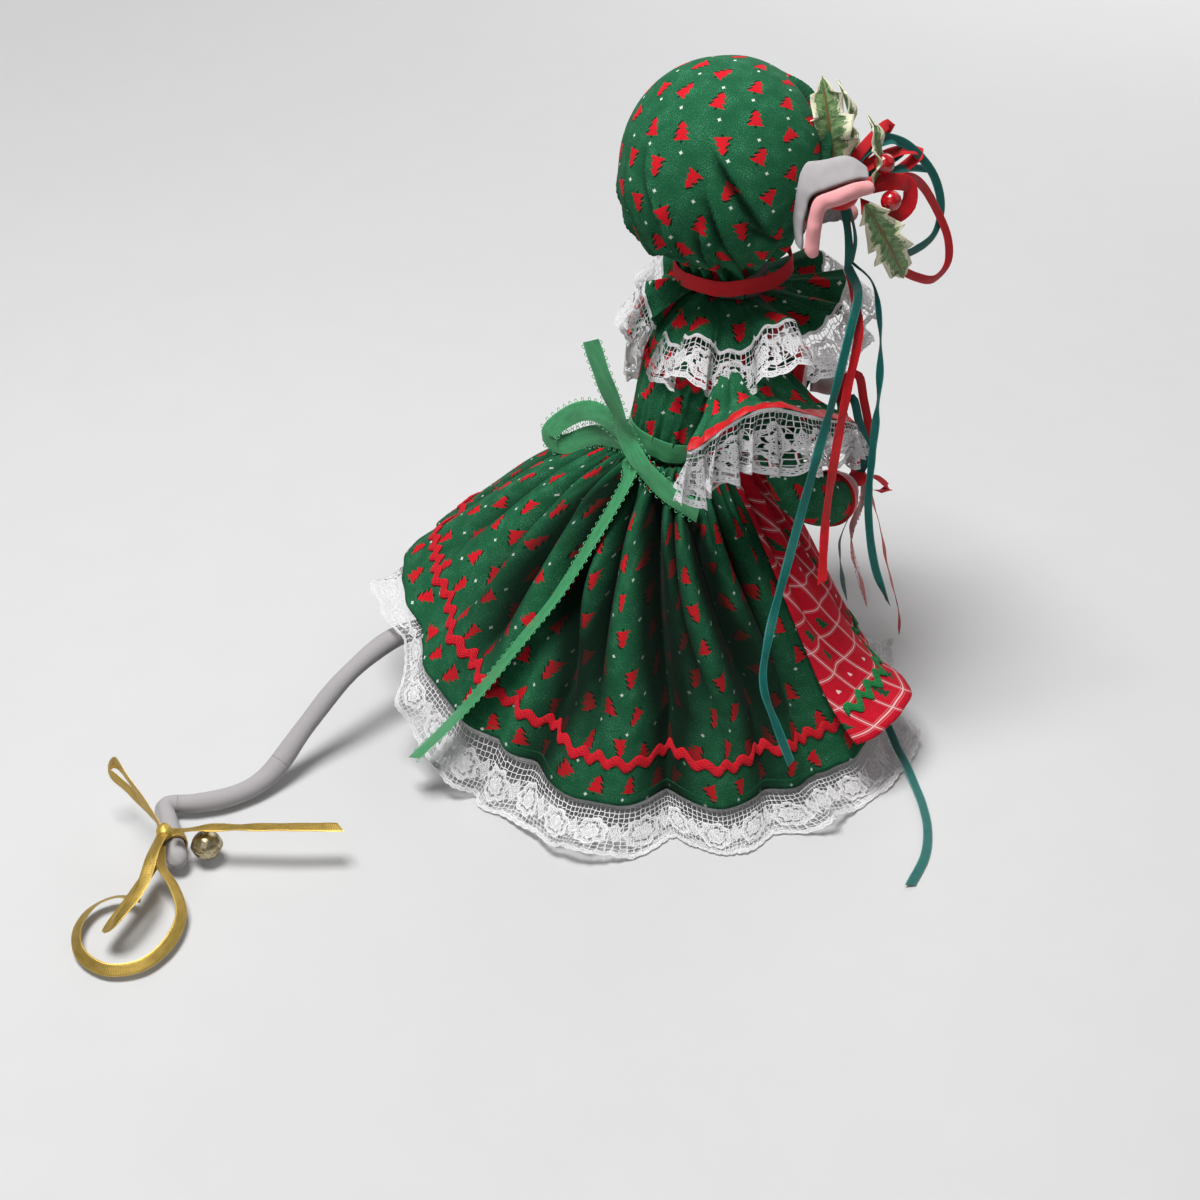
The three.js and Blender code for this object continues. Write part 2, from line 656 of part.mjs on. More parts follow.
const snoutDirection = vector(0, -Math.cos(radians(SNOUT_DROOP)), -Math.sin(radians(SNOUT_DROOP)));
const browDirection = vector(0, -Math.sin(radians(SNOUT_DROOP)), Math.cos(radians(SNOUT_DROOP)));
const alongSnout = (distance) => HEAD_CENTRE.clone().addScaledVector(snoutDirection, distance);
const stubBottom = BODICE_TOP + GAP;

/** The snout's radius at a distance from the head's centre. */
function snoutRadius(distance) {
  const startRadius = Math.sqrt(HEAD_RADIUS ** 2 - SNOUT_START ** 2);
  const share = (distance - SNOUT_START) / (SNOUT_LENGTH - SNOUT_TIP_RADIUS - SNOUT_START);
  return lerp(startRadius, SNOUT_TIP_RADIUS, Math.min(share, 1) ** 0.8);
}

function eyePlace(side) {
  const lean = radians(EYE_SPREAD);
  const outward = browDirection.clone().multiplyScalar(Math.cos(lean)).add(vector(side * Math.sin(lean), 0, 0));
  return alongSnout(EYE_ALONG_SNOUT).addScaledVector(outward, snoutRadius(EYE_ALONG_SNOUT) + EYE_RADIUS * 0.1);
}

function buildHead() {
  const skull = toManifold(aim(ball(HEAD_RADIUS, 18, 10), snoutDirection, HEAD_CENTRE));
  const profile = [];
  const steps = 5;
  for (let step = 0; step <= steps; step += 1) {
    const distance = lerp(SNOUT_START, SNOUT_LENGTH - SNOUT_TIP_RADIUS, step / steps);
    profile.push([snoutRadius(distance) - 0.05, distance]);
  }
  for (const angle of [60, 30, 2]) {
    const tip = SNOUT_LENGTH - SNOUT_TIP_RADIUS + SNOUT_TIP_RADIUS * Math.cos(radians(angle));
    profile.push([SNOUT_TIP_RADIUS * Math.sin(radians(angle)), tip]);
  }
  const snout = toManifold(aim(turned([[profile[0][0] * 0.7, 0], ...profile], 18), snoutDirection, HEAD_CENTRE));
  const stubProfile = [[NECK_STUB_RADIUS, stubBottom], [NECK_STUB_RADIUS, HEAD_CENTRE.z - 12]];
  const stub = toManifold(turned(stubProfile, 18).translate(0, NECK_Y, 0));
  const boreTop = BODICE_TOP + NECK_DOWEL_IN_HEAD + JOINT_GAP;
  const boreProfile = [[NECK_DOWEL_RADIUS + JOINT_GAP, stubBottom - 1], [NECK_DOWEL_RADIUS + JOINT_GAP, boreTop]];
  const bore = toManifold(turned(boreProfile, 14).translate(0, NECK_Y, 0));
  let head = skull.add(snout).add(stub).subtract(bore);
  const nosePlace = alongSnout(SNOUT_LENGTH + NOSE_RADIUS * 0.4);
  head = head.subtract(toManifold(aim(ball(NOSE_RADIUS + GAP, 10, 5), snoutDirection, nosePlace)));
  add("nose", aim(ball(NOSE_RADIUS, 10, 5), snoutDirection, nosePlace), "pinkFelt");
  for (const [name, side] of [["right_eye", -1], ["left_eye", 1]]) {
    const place = eyePlace(side);
    head = head.subtract(toManifold(aim(ball(EYE_RADIUS + GAP, 10, 5), browDirection, place)));
    add(name, aim(ball(EYE_RADIUS, 10, 5), browDirection, place), "bead");
  }
  add("head", fromManifold(head), "felt");
}

const hoodOuterRadius = HEAD_RADIUS + HOOD_EASE + HOOD_THICKNESS;
const hoodNeckTop = HEAD_CENTRE.z - Math.sqrt(hoodOuterRadius ** 2 - HOOD_NECK_RADIUS ** 2);
const hoodNeckBottom = stubBottom + 5;
const hoodNeckMiddle = (hoodNeckTop + hoodNeckBottom) / 2;

/** Rings of the hood's balloon shape: a ball drawn in to a neck, with pleats. */
function hoodRings(inset, extraBelow) {
  const sides = HOOD_PLEATS * 4;
  const ballRadius = hoodOuterRadius - inset;
  const neckRadius = HOOD_NECK_RADIUS - inset;
  const lowest = 180 - THREE.MathUtils.radToDeg(Math.asin(neckRadius / ballRadius));
  const stations = ballProfile(ballRadius, 3, lowest, 10).map(([radius, rise]) => [radius, HEAD_CENTRE.z + rise]);
  stations.push([neckRadius, hoodNeckBottom - extraBelow]);
  return stations.map(([radius, height]) => {
    const low = THREE.MathUtils.smoothstep(-height, -(HEAD_CENTRE.z - 24), -hoodNeckMiddle);
    const drawn = inset > 0 ? 0 : HOOD_PLEAT_DEPTH * low;
    return Array.from({ length: sides }, (_, side) => {
      const azimuth = (side * 360) / sides;
      const pleated = radius + drawn * (0.5 + 0.5 * Math.cos(radians(azimuth * HOOD_PLEATS)));
      return around(azimuth, pleated, height, lerp(HEAD_CENTRE.y, NECK_Y, low));
    });
  });
}

function buildHood() {
  const outer = toManifold(loftSolid(hoodRings(0, 0)));
  const inner = toManifold(loftSolid(hoodRings(HOOD_THICKNESS, 2)));
  const reach = 2 * HEAD_RADIUS;
  const front = box(2 * reach, 2 * reach, reach);
  const opening = toManifold(aim(front, snoutDirection, alongSnout(HOOD_BRIM_AT + reach / 2)));
  add("hood", fromManifold(outer.subtract(inner).subtract(opening)), "cotton");
}

function buildNeckRibbon() {
  const inner = HOOD_NECK_RADIUS + HOOD_PLEAT_DEPTH + GAP;
  const half = NECK_RIBBON_WIDTH / 2;
  const rings = [[inner, -half], [inner, half], [inner + 0.9, half], [inner + 0.9, -half]];
  const loops = rings.map(([radius, height]) => (
    ellipse(vector(0, 0, height), vector(1, 0, 0), vector(0, 1, 0), radius, radius + 0.6, 36)
  ));
  const band = loftSolid(loops, true);
  band.rotateX(-radians(NECK_RIBBON_TILT) * 0.3);
  band.translate(0, NECK_Y - 0.2, hoodNeckMiddle - 0.6);
  add("neck_ribbon", band, "redSatin");
}

// Ears

/** A cupped disc: a shallow slice of a ball-shaped shell, opening along +Z. */
function cup(ballRadius, rimRadius, thickness, sides) {
  const rimAngle = THREE.MathUtils.radToDeg(Math.asin(rimRadius / ballRadius));
  const outer = ballProfile(ballRadius, 178, 180 - rimAngle, 3);
  const inner = ballProfile(ballRadius - thickness, 180 - rimAngle, 178, 3);
  return turned([...outer, ...inner], sides);
}

function buildEars() {
  for (const [prefix, side] of [["right", -1], ["left", 1]]) {
    const opening = vector(side * 0.4, -0.78, -0.48).normalize();
    const away = vector(side * 0.84, -0.38, -0.04).normalize();
    const seat = hoodOuterRadius + EAR_SETBACK + EAR_RADIUS;
    const centre = HEAD_CENTRE.clone().addScaledVector(away, seat).addScaledVector(opening, EAR_CUP_RADIUS * 0.35);
    const felt = cup(EAR_CUP_RADIUS, EAR_RADIUS, EAR_FELT, 14);
    add(`${prefix}_ear`, aim(felt, opening, centre), "felt");
    const liningBall = EAR_CUP_RADIUS - EAR_FELT - GAP;
    const lining = cup(liningBall, EAR_RADIUS - 2.4, EAR_LINING, 14);
    add(`${prefix}_ear_lining`, aim(lining, opening, centre), "pinkFelt");
  }
}

// Corsage of holly, berries and ribbon on the right temple

const corsageDirection = vector(-0.68, -0.72, -0.12).normalize();
const corsageReach = HEAD_RADIUS + GAP + CORSAGE_KNOT_RADIUS;
const corsageKnot = HEAD_CENTRE.clone().addScaledVector(corsageDirection, corsageReach);
const streamerKnot = corsageKnot.clone().add(vector(-5.5, 1, -20));

/** A spiky leaf in the XY plane, pointing along +Y from its stalk at the origin. */
function leafShape(length) {
  const shape = new THREE.Shape();
  const span = length / (LEAF_SPIKES + 1);
  const halfWidthAt = (y) => LEAF_HALF_WIDTH * Math.sin(Math.PI * Math.min(y / length, 1)) ** 0.6;
  shape.moveTo(0, 0);
  for (let spike = 1; spike <= LEAF_SPIKES; spike += 1) {
    const y = span * spike + 1;
    shape.quadraticCurveTo(halfWidthAt(y - span / 2) * 0.5, y - span / 2, halfWidthAt(y), y);
  }
  shape.quadraticCurveTo(LEAF_HALF_WIDTH * 0.3, length - span / 2, 0, length);
  for (let spike = LEAF_SPIKES; spike >= 1; spike -= 1) {
    const y = span * spike + 1;
    shape.quadraticCurveTo(-halfWidthAt(y + span / 2) * 0.5, y + span / 2, -halfWidthAt(y), y);
  }
  shape.quadraticCurveTo(-LEAF_HALF_WIDTH * 0.3, span / 2, 0, 0);
  return shape;
}

/** A leaf solid from its base to its tip, folded up a little along its midrib. */
function leafSolid(base, tip, facing) {
  const length = base.distanceTo(tip);
  const outline = leafShape(length).getPoints(3);
  const right = outline.filter((point, index) => point.x >= -1e-9 && index < outline.length / 2 + 1);
  const rows = right.map((point) => point.y);
  const widths = right.map((point) => Math.max(point.x, 0.25));
  const along = tip.clone().sub(base).normalize();
  const normal = facing.clone().addScaledVector(along, -facing.dot(along)).normalize();
  const side = along.clone().cross(normal);
  const at = (rise) => (column, row) => base.clone()
    .addScaledVector(along, rows[row])
    .addScaledVector(side, widths[row] * (column - 1))
    .addScaledVector(normal, rise + LEAF_FOLD * widths[row] * Math.abs(column - 1));
  return sheetSolid(at(LEAF_THICKNESS / 2), at(-LEAF_THICKNESS / 2), 2, rows.length - 1, false);
}

function buildCorsage() {
  const near = (x, y, z) => corsageKnot.clone().add(vector(x, y, z));
  const seatAt = (x, y, z, reach) => {
    const direction = vector(x, y, z).normalize();
    return corsageKnot.clone().addScaledVector(direction, CORSAGE_KNOT_RADIUS + GAP + reach);
  };
  const leaves = {
    holly_leaf_upper: [seatAt(4.5, 1, 7, 0), near(10.5, 1.4, 34), vector(-0.75, -0.2, 0.4)],
    holly_leaf_middle: [seatAt(-2, -3.5, 5.5, 0), near(-3.5, -2.6, 26), vector(-0.9, 0.1, 0.3)],
    holly_leaf_lower: [seatAt(-7.5, -2, -1, 0), near(-11.3, -17.8, -28.8), vector(-0.9, 0.3, 0.4)],
    holly_leaf_front: [seatAt(3, -4, 5.5, 0), near(14.5, -15.6, 24), vector(-0.5, -0.7, 0.5)],
  };
  for (const [name, [base, tip, facing]] of Object.entries(leaves)) {
    add(name, leafSolid(base, tip, facing), "leaf");
  }
  const berries = { berry_upper: [-1, -9.5, 6], berry_lower: [-3.5, -10, -4.5] };
  for (const [name, [x, y, z]] of Object.entries(berries)) {
    add(name, ball(BERRY_RADIUS, 10, 6).translate(...seatAt(x, y, z, BERRY_RADIUS).toArray()), "berry");
  }
  const knot = toManifold(aim(ball(CORSAGE_KNOT_RADIUS, 12, 7), corsageDirection, corsageKnot));
  const lowerKnot = toManifold(ball(STREAMER_KNOT_RADIUS, 8, 5).translate(...streamerKnot.toArray()));
  const facing = vector(-0.9, -0.3, 0.2);
  const link = toManifold(ribbonSolid([corsageKnot, near(-2, 1, -10), streamerKnot], [facing], WIDE_RIBBON, 6, 1.2));
  add("corsage_bow", fromManifold(knot.add(lowerKnot).add(link)), "redSatin");
}

const cordPaths = {
  red_loop: [
    [-31.1, -57.7, 192.3], [-33.5, -65, 193.5], [-31, -74, 194], [-28, -82, 189], [-27, -90, 178], [-28, -95, 167],
    [-29, -95, 159], [-31, -89, 155.5], [-33, -80, 159], [-34.5, -71, 165],
  ],
  teal_loop: [
    [-22.5, -59.6, 191.9], [-22, -63, 199], [-22.5, -68, 204.5], [-22, -77, 202], [-22, -85, 195.5], [-23, -91, 187],
    [-25, -93, 177], [-28, -89, 170], [-32, -79, 168], [-35, -68, 168.5],
  ],
  teal_streamer_right: [
    [-34.6, -52.8, 168.5], [-41, -53, 163], [-48, -47, 155], [-55, -38, 135], [-58, -31, 114], [-62.5, -21, 84],
    [-74, -8, 63], [-84, -1, 52], [-92, -3, 38], [-98, -5, 28],
  ],
  red_streamer: [
    [-33, -53.7, 167.3], [-38, -53, 161.5], [-46.5, -51, 153], [-54.5, -43, 134], [-57, -39, 114], [-59, -36, 91], [-66, -32, 72],
  ],
  teal_streamer_front: [
    [-32.3, -55.6, 168.7], [-38, -60, 163.5], [-44.5, -60, 152], [-52, -57, 132], [-54.5, -55, 112], [-56, -54.5, 88], [-61, -56, 68],
    [-66, -59, 56],
  ],
};

const toVectors = (path) => path.map(([x, y, z]) => vector(x, y, z));

function buildHeadRibbons() {
  const outward = vector(-1, 0.25, 0.35);
  const edgeOn = vector(0.3, -0.9, 0.3);
  const sideOn = vector(-1, -0.15, 0.1);
  const ribbons = [
    ["red_loop", sideOn, "redSatin", 20],
    ["teal_loop", sideOn, "tealSatin", 20],
    ["teal_streamer_right", outward, "tealSatin", 24],
    ["red_streamer", outward, "redSatin", 18],
    ["teal_streamer_front", edgeOn, "tealSatin", 18],
  ];
  for (const [name, facing, finish, steps] of ribbons) {
    add(name, ribbonSolid(toVectors(cordPaths[name]), [facing], NARROW_RIBBON, steps), finish);
  }
}

// Arms

const sleeveSides = 20;
const cuffLongDirection = vector(-0.14, -0.97, -0.21).normalize();
const cuffShortDirection = vector(0.65, 0.1, 0.75).normalize();
const cuffDownDirection = cuffShortDirection.clone().cross(cuffLongDirection).normalize();

const arms = [
  { prefix: "right", side: -1, lift: 0, cuffLong: RIGHT_CUFF_LONG, cuffCentre: CUFF_CENTRE },
  { prefix: "left", side: 1, lift: LEFT_ARM_LIFT, cuffLong: LEFT_CUFF_LONG, cuffCentre: LEFT_CUFF_CENTRE },
];

/** Puts a point of the lowered left arm on either side, lifted about its shoulder. */
function placeOnArm({ side, lift }, point) {
  const shoulder = vector(0, SHOULDER_Y, SHOULDER_Z);
  const lifted = point.clone().sub(shoulder).applyAxisAngle(vector(-1, 0, 0), radians(lift)).add(shoulder);
  return vector(lifted.x * side, lifted.y, lifted.z);
}

const placeRings = (arm, rings) => rings.map((ring) => ring.map((point) => placeOnArm(arm, point)));

/** The sleeve's stations from the shoulder to the cuff. */
function sleeveStations({ cuffLong, cuffCentre }) {
  const shoulder = vector(SHOULDER_HALF_WIDTH + GAP, SHOULDER_Y, SHOULDER_Z);
  const stationAt = (share, long, short) => {
    const turnShare = THREE.MathUtils.smoothstep(share, 0, 0.6);
    const sag = vector(0, 0, -SLEEVE_SAG * Math.sin(Math.PI * share));
    return {
      centre: shoulder.clone().lerp(cuffCentre, share).add(sag),
      longDirection: vector(0, -1, 0).lerp(cuffLongDirection, turnShare).normalize(),
      shortDirection: vector(0, 0, 1).lerp(cuffShortDirection, turnShare).normalize(),
      long,
      short,
    };
  };
  return [
    stationAt(0, SHOULDER_RADIUS + 1, SHOULDER_RADIUS + 1),
    stationAt(0.22, lerp(SHOULDER_RADIUS, cuffLong, 0.2), SHOULDER_RADIUS),
    stationAt(0.55, lerp(SHOULDER_RADIUS, cuffLong, 0.52), CUFF_SHORT - 4.5),
    stationAt(1, cuffLong, CUFF_SHORT),
  ];
}

function stationRing({ centre, longDirection, shortDirection, long, short }, offset) {
  return ellipse(centre, longDirection, shortDirection, long + offset, short + offset, sleeveSides);
}

function buildSleeve(arm) {
  const stations = sleeveStations(arm);
  const rings = stations.map((station) => stationRing(station, 0));
  add(`${arm.prefix}_sleeve`, loftSolid(placeRings(arm, rings)), "cotton");
  const [before, cuff] = stations.slice(-2);
  const bandRing = ([share, offset]) => {
    const end = stationRing(cuff, offset);
    return stationRing(before, offset).map((point, index) => point.lerp(end[index], share));
  };
  const bandStart = 1 - SLEEVE_BAND_SHARE * 2;
  const bandEnd = 1 - SLEEVE_BAND_SHARE * 0.3;
  const outer = GAP + SLEEVE_BAND_THICKNESS;
  const band = [[bandStart, GAP], [bandEnd, GAP], [bandEnd, outer], [bandStart, outer]].map(bandRing);
  add(`${arm.prefix}_sleeve_band`, loftSolid(placeRings(arm, band), true), "redSatin");
}

/** The lace ruffle that hangs from the cuff, deepest on its outer side. */
function buildCuffLace(arm) {
  const columns = CUFF_LACE_WAVES * 4;
  const rows = 2;
  const at = (inset) => (column, row) => {
    const angle = (column / columns) * 2 * Math.PI;
    const share = row / rows;
    const rim = arm.cuffCentre.clone()
      .addScaledVector(cuffDownDirection, GAP)
      .addScaledVector(cuffLongDirection, (arm.cuffLong - inset) * Math.cos(angle))
      .addScaledVector(cuffShortDirection, (CUFF_SHORT - inset) * Math.sin(angle));
    const outward = rim.clone().sub(arm.cuffCentre).setZ(0).normalize();
    const wave = CUFF_LACE_FLARE * (0.5 + 0.5 * Math.cos(angle * CUFF_LACE_WAVES));
    const front = Math.max(Math.cos(angle), 0);
    const drop = CUFF_LACE_DROP + CUFF_LACE_DROP_SPREAD * Math.sin(angle) - CUFF_LACE_FRONT_RAISE * front;
    rim.addScaledVector(outward, wave * share);
    rim.z -= drop * share;
    return placeOnArm(arm, rim);
  };
  const lace = sheetSolid(at(0), at(TRIM_LACE_THICKNESS), columns, rows, true);
  add(`${arm.prefix}_sleeve_lace`, lace, "lace");
}

/** The stuffed forearm, bent at the elbow under the lace, with a felt paw turned in. */
function buildForearm(arm) {
  const start = arm.cuffCentre.clone()
    .addScaledVector(cuffDownDirection, GAP)
    .addScaledVector(cuffShortDirection, -1);
  const path = FOREARM_ROUTE.map(([x, y, z]) => arm.cuffCentre.clone().add(vector(x, y, z)));
  const sides = 14;
  const radiusAt = (share) => FOREARM_RADIUS * lerp(0.8, 1, THREE.MathUtils.smoothstep(share, 0.25, 0.6));
  const rings = [
    ellipse(start, cuffLongDirection, cuffShortDirection, FOREARM_RADIUS * 0.8, FOREARM_RADIUS * 0.8, sides),
    ...limbRings(path, radiusAt, 5, sides, vector(1, 0, 0)),
  ];
  add(`${arm.prefix}_forearm`, loftSolid(placeRings(arm, rings)), "cotton");
  const wrist = path.at(-1);
  const heading = wrist.clone().sub(path.at(-2)).normalize();
  const inward = vector(-1, 0, 0);
  const pawPath = [GAP + 0.1, 5, 9, 12].map((reach) => (
    wrist.clone().addScaledVector(heading, reach * 0.8).addScaledVector(inward, Math.max(reach - 6, 0))
  ));
  const pawRadius = (share) => PAW_RADIUS * Math.sqrt(Math.max(1 - (Math.max(share - 0.35, 0) / 0.66) ** 2, 0.01));
  const pawRings = limbRings(pawPath, pawRadius, 6, 12, vector(0.5, 0, 1));
  add(`${arm.prefix}_paw`, loftSolid(placeRings(arm, pawRings)), "felt");
}

function buildArm(arm) {
  buildSleeve(arm);
  buildCuffLace(arm);
  buildForearm(arm);
}

// Ribbon bunch held at the right paw

const handKnot = vector(-22.5, -71.4, 78.5);
const handPaths = {
  hand_red_ribbon: [[-22.2, -75.2, 75.4], [-17, -77, 62], [-14, -76, 48], [-14, -80, 32], [-14, -85, 18]],
  hand_teal_ribbon: [[-23, -71, 74.4], [-21, -70, 63], [-19, -68.5, 50], [-18, -70.5, 36], [-18, -73.5, 26]],
  hand_red_streamer: [[-25.4, -73.8, 77], [-26, -79.5, 60], [-24, -86.5, 38], [-23, -93.8, 16], [-22, -96.5, 4]],
};

function buildHandRibbons() {
  const knot = toManifold(aim(ball(HAND_KNOT_RADIUS, 8, 5), vector(0, 0, 1), handKnot));
  const loop = (x, y, z) => toManifold(ribbonSolid(
    [handKnot, handKnot.clone().add(vector(x / 2, y / 2, z / 2 + 2)), handKnot.clone().add(vector(x, y, z))],
    [vector(0, -0.3, 1)], WIDE_RIBBON, 5, 1.4,
  ));
  const bow = knot.add(loop(-13, -5, 1)).add(loop(12, -7, 0));
  add("hand_bow", fromManifold(bow), "redSatin");
  const forward = vector(-0.5, -0.85, 0.1);
  add("hand_red_ribbon", ribbonSolid(toVectors(handPaths.hand_red_ribbon), [forward], PICOT_RIBBON, 10), "redSatin");
  add("hand_red_streamer", ribbonSolid(toVectors(handPaths.hand_red_streamer), [forward], NARROW_RIBBON, 14), "redSatin");
  add("hand_teal_ribbon", ribbonSolid(toVectors(handPaths.hand_teal_ribbon), [forward], WIDE_RIBBON, 10), "tealSatin");
  const floorPath = toVectors([
    [-75, -58, 9.2], [-79, -57.8, 7], [-83, -57.3, 5.4], [-89.5, -56.8, 3.5], [-98, -55, 1.8], [-108, -52, 1.2],
    [-119, -47, 1], [-130, -39, 1], [-140, -27, 1],
  ]);
  const upward = vector(-0.2, 0, 1);
  add("floor_ribbon", ribbonSolid(floorPath, [upward], NARROW_RIBBON, 18), "tealSatin");
}

// Sash bow at the back of the waist

function buildSashBow() {
  const knotPlace = vector(-2, WAIST_Y + WAIST_RADIUS + 0.85, (sashBottom + sashTop) / 2 + 1);
  const knot = toManifold(box(8, 4.2, SASH_WIDTH).translate(knotPlace.x, knotPlace.y, knotPlace.z));
  const outward = vector(-0.35, 1, 0.25);
  const upper = [knotPlace, vector(-5, 13.5, 117), vector(0, 17, 127), vector(6, 19, 139)];
  const lower = [knotPlace, vector(-13, 10.5, 103), vector(-24, 10, 97), vector(-34, 5, 92)];
  const far = [knotPlace, vector(8, 12, 107), vector(17, 15, 105), vector(25, 20, 99), vector(29, 25, 92)];
  const loop = (path, steps) => toManifold(ribbonSolid(path, [outward], PICOT_RIBBON, steps, 1.6));
  const bow = knot.add(loop(upper, 6)).add(loop(lower, 6)).add(loop(far, 8));
  add("sash_bow", fromManifold(bow), "greenSatin");
  const tailPath = toVectors([
    [-4.5, 9.9, 98.1], [-11, 12.4, 95.4], [-16.2, 21.5, 87], [-19.7, 30.6, 78.3], [-24.4, 45.4, 64], [-26.7, 60.2, 50.8],
    [-29, 76.6, 36.2], [-28.8, 91, 23.5], [-28, 101, 15],
  ]);
  const tailFacings = [vector(-0.25, 0.7, 0.7)];
  add("sash_tail", ribbonSolid(tailPath, tailFacings, PICOT_RIBBON, 20), "greenSatin");
}

// Tail, a felt tube over wire that bends at two places

const tailExit = [[22, 64.7, 31], [20.5, 78, 31], [19, 91, 30.5], [11, 111, 26], [3.5, 129, 15.5]];
const tailElbow = vector(-4.5, 145, 6);
const tailFloor = [[-7.5, 153, 4.6], [-8.5, 162, 4.3], [-7, 172, 4.4]];
const tailKink = vector(-4.5, 181.5, 4.8);
const tailTip = [[-14, 183.5, 5], [-24, 184.5, 5.2], [-34, 185.5, 5.6]];

/** The last or first place on a tail stretch that keeps clear of the ball at a bend. */
function towards(from, to, distance) {
  return from.clone().add(to.clone().sub(from).setLength(distance));
}

/** Rings of a tail stretch that starts with a half ball at its bend. */
function tailStretch(bend, path, steps) {
  const heading = path[0].clone().sub(bend).normalize();
  const up = vector(0, 0, 1);
  const short = up.clone().addScaledVector(heading, -up.dot(heading)).normalize();
  const long = short.clone().cross(heading).normalize();
  const capAngles = [4, 30, 60];
  const cap = capAngles.map((angle) => {
    const centre = bend.clone().addScaledVector(heading, -TAIL_RADIUS * Math.cos(radians(angle)));
    const radius = TAIL_RADIUS * Math.sin(radians(angle));
    return ellipse(centre, long, short, radius, radius, 10);
  });
  const body = limbRings([bend, ...path], () => TAIL_RADIUS, steps, 10, up);
  return [...cap, ...body];
}

/** A stretch's rings with a rounded end: each [share of the radius, push past the last ring]. */
function roundedEnd(rings, outward, rounding) {
  const last = rings.at(-1);
  const centre = last.reduce((sum, point) => sum.add(point), vector(0, 0, 0)).divideScalar(last.length);
  const cap = rounding.map(([share, push]) => (
    last.map((point) => centre.clone().lerp(point, share).addScaledVector(outward, push * TAIL_RADIUS))
  ));
  return [...rings, ...cap];
}

function buildTail() {
  const clear = TAIL_RADIUS + GAP;
  const up = vector(0, 0, 1);
  const exit = toVectors(tailExit);
  const baseEnd = towards(tailElbow, exit.at(-1), clear);
  add("tail_base", loftSolid(limbRings([...exit, baseEnd], () => TAIL_RADIUS, 12, 10, up)), "felt");
  const floor = toVectors(tailFloor);
  const bendRoom = TAIL_RADIUS * TAIL_BEND_ROOM;
  const midEnd = towards(tailKink, floor.at(-1), clear + bendRoom);
  const toKink = tailKink.clone().sub(midEnd).normalize();
  const mid = tailStretch(tailElbow, [...floor, midEnd], 7);
  add("tail_middle", loftSolid(roundedEnd(mid, toKink, [[0.8, 0.36], [0.4, 0.54]])), "felt");
  const tip = toVectors(tailTip);
  const end = tailStretch(tailKink, tip, 6);
  const outward = tip.at(-1).clone().sub(tip.at(-2)).normalize();
  add("tail_end", loftSolid(roundedEnd(end, outward, [[0.8, 0.5], [0.35, 0.8]])), "felt");
}

// Gold ribbon and jingle bell near the tail's tip

const goldKnot = vector(-24.5, 186.8, 11.4);
const goldPaths = {
  gold_ribbon_end: [
    [-28.2, 184.8, 13], [-29.8, 180.5, 13.8], [-32, 175, 14.4], [-38, 163, 15], [-45, 149, 15.5], [-51, 135, 15],
  ],
  gold_curl: [
    [-28.5, 189.5, 9.6], [-37, 191.5, 8.6], [-47, 190, 7], [-58, 191, 5.2], [-68, 198, 4.2], [-73, 208, 3.6],
    [-70, 218, 3.4], [-60, 223.5, 3.4], [-49, 222, 3.6], [-41.5, 215, 4], [-41, 207, 4.6], [-46.5, 201, 5],
  ],
};

function buildGoldRibbon() {
  const knot = toManifold(aim(ball(GOLD_KNOT_RADIUS, 8, 5), vector(0, 0, 1), goldKnot));
  const wrapCentre = vector(-24, 184.5, 5.2);
  const wrapInner = TAIL_RADIUS + GAP;
  const wrapRings = [[wrapInner, -2], [wrapInner, 2], [wrapInner + 0.6, 2], [wrapInner + 0.6, -2]].map(([radius, x]) => (
    ellipse(wrapCentre.clone().add(vector(x, 0, 0)), vector(0, 1, 0), vector(0, 0, 1), radius, radius, 16)
  ));
  const wrap = toManifold(loftSolid(wrapRings, true));
  const sideways = vector(0.2, 1, 0.3);
  const upLoop = [goldKnot, vector(-16, 190, 17.5), vector(-7, 191.5, 21), vector(2, 194, 23)];
  const lowLoop = [goldKnot, vector(-41, 195, 13.5), vector(-51, 201, 13), vector(-59, 209, 12), vector(-61, 215, 11.5)];
  const loop = (path, steps) => toManifold(ribbonSolid(path, [sideways], GOLD_RIBBON, steps, 1.4));
  const bow = knot.add(wrap).add(loop(upLoop, 6)).add(loop(lowLoop, 6));
  add("gold_bow", fromManifold(bow), "gold");
  const upward = vector(0.2, 0.2, 1);
  add("gold_ribbon_end", ribbonSolid(toVectors(goldPaths.gold_ribbon_end), [upward], GOLD_RIBBON, 12), "gold");
  const edgeUp = vector(0.1, -0.1, 1);
  add("gold_curl", ribbonSolid(toVectors(goldPaths.gold_curl), [edgeUp], GOLD_RIBBON, 26), "gold");
}

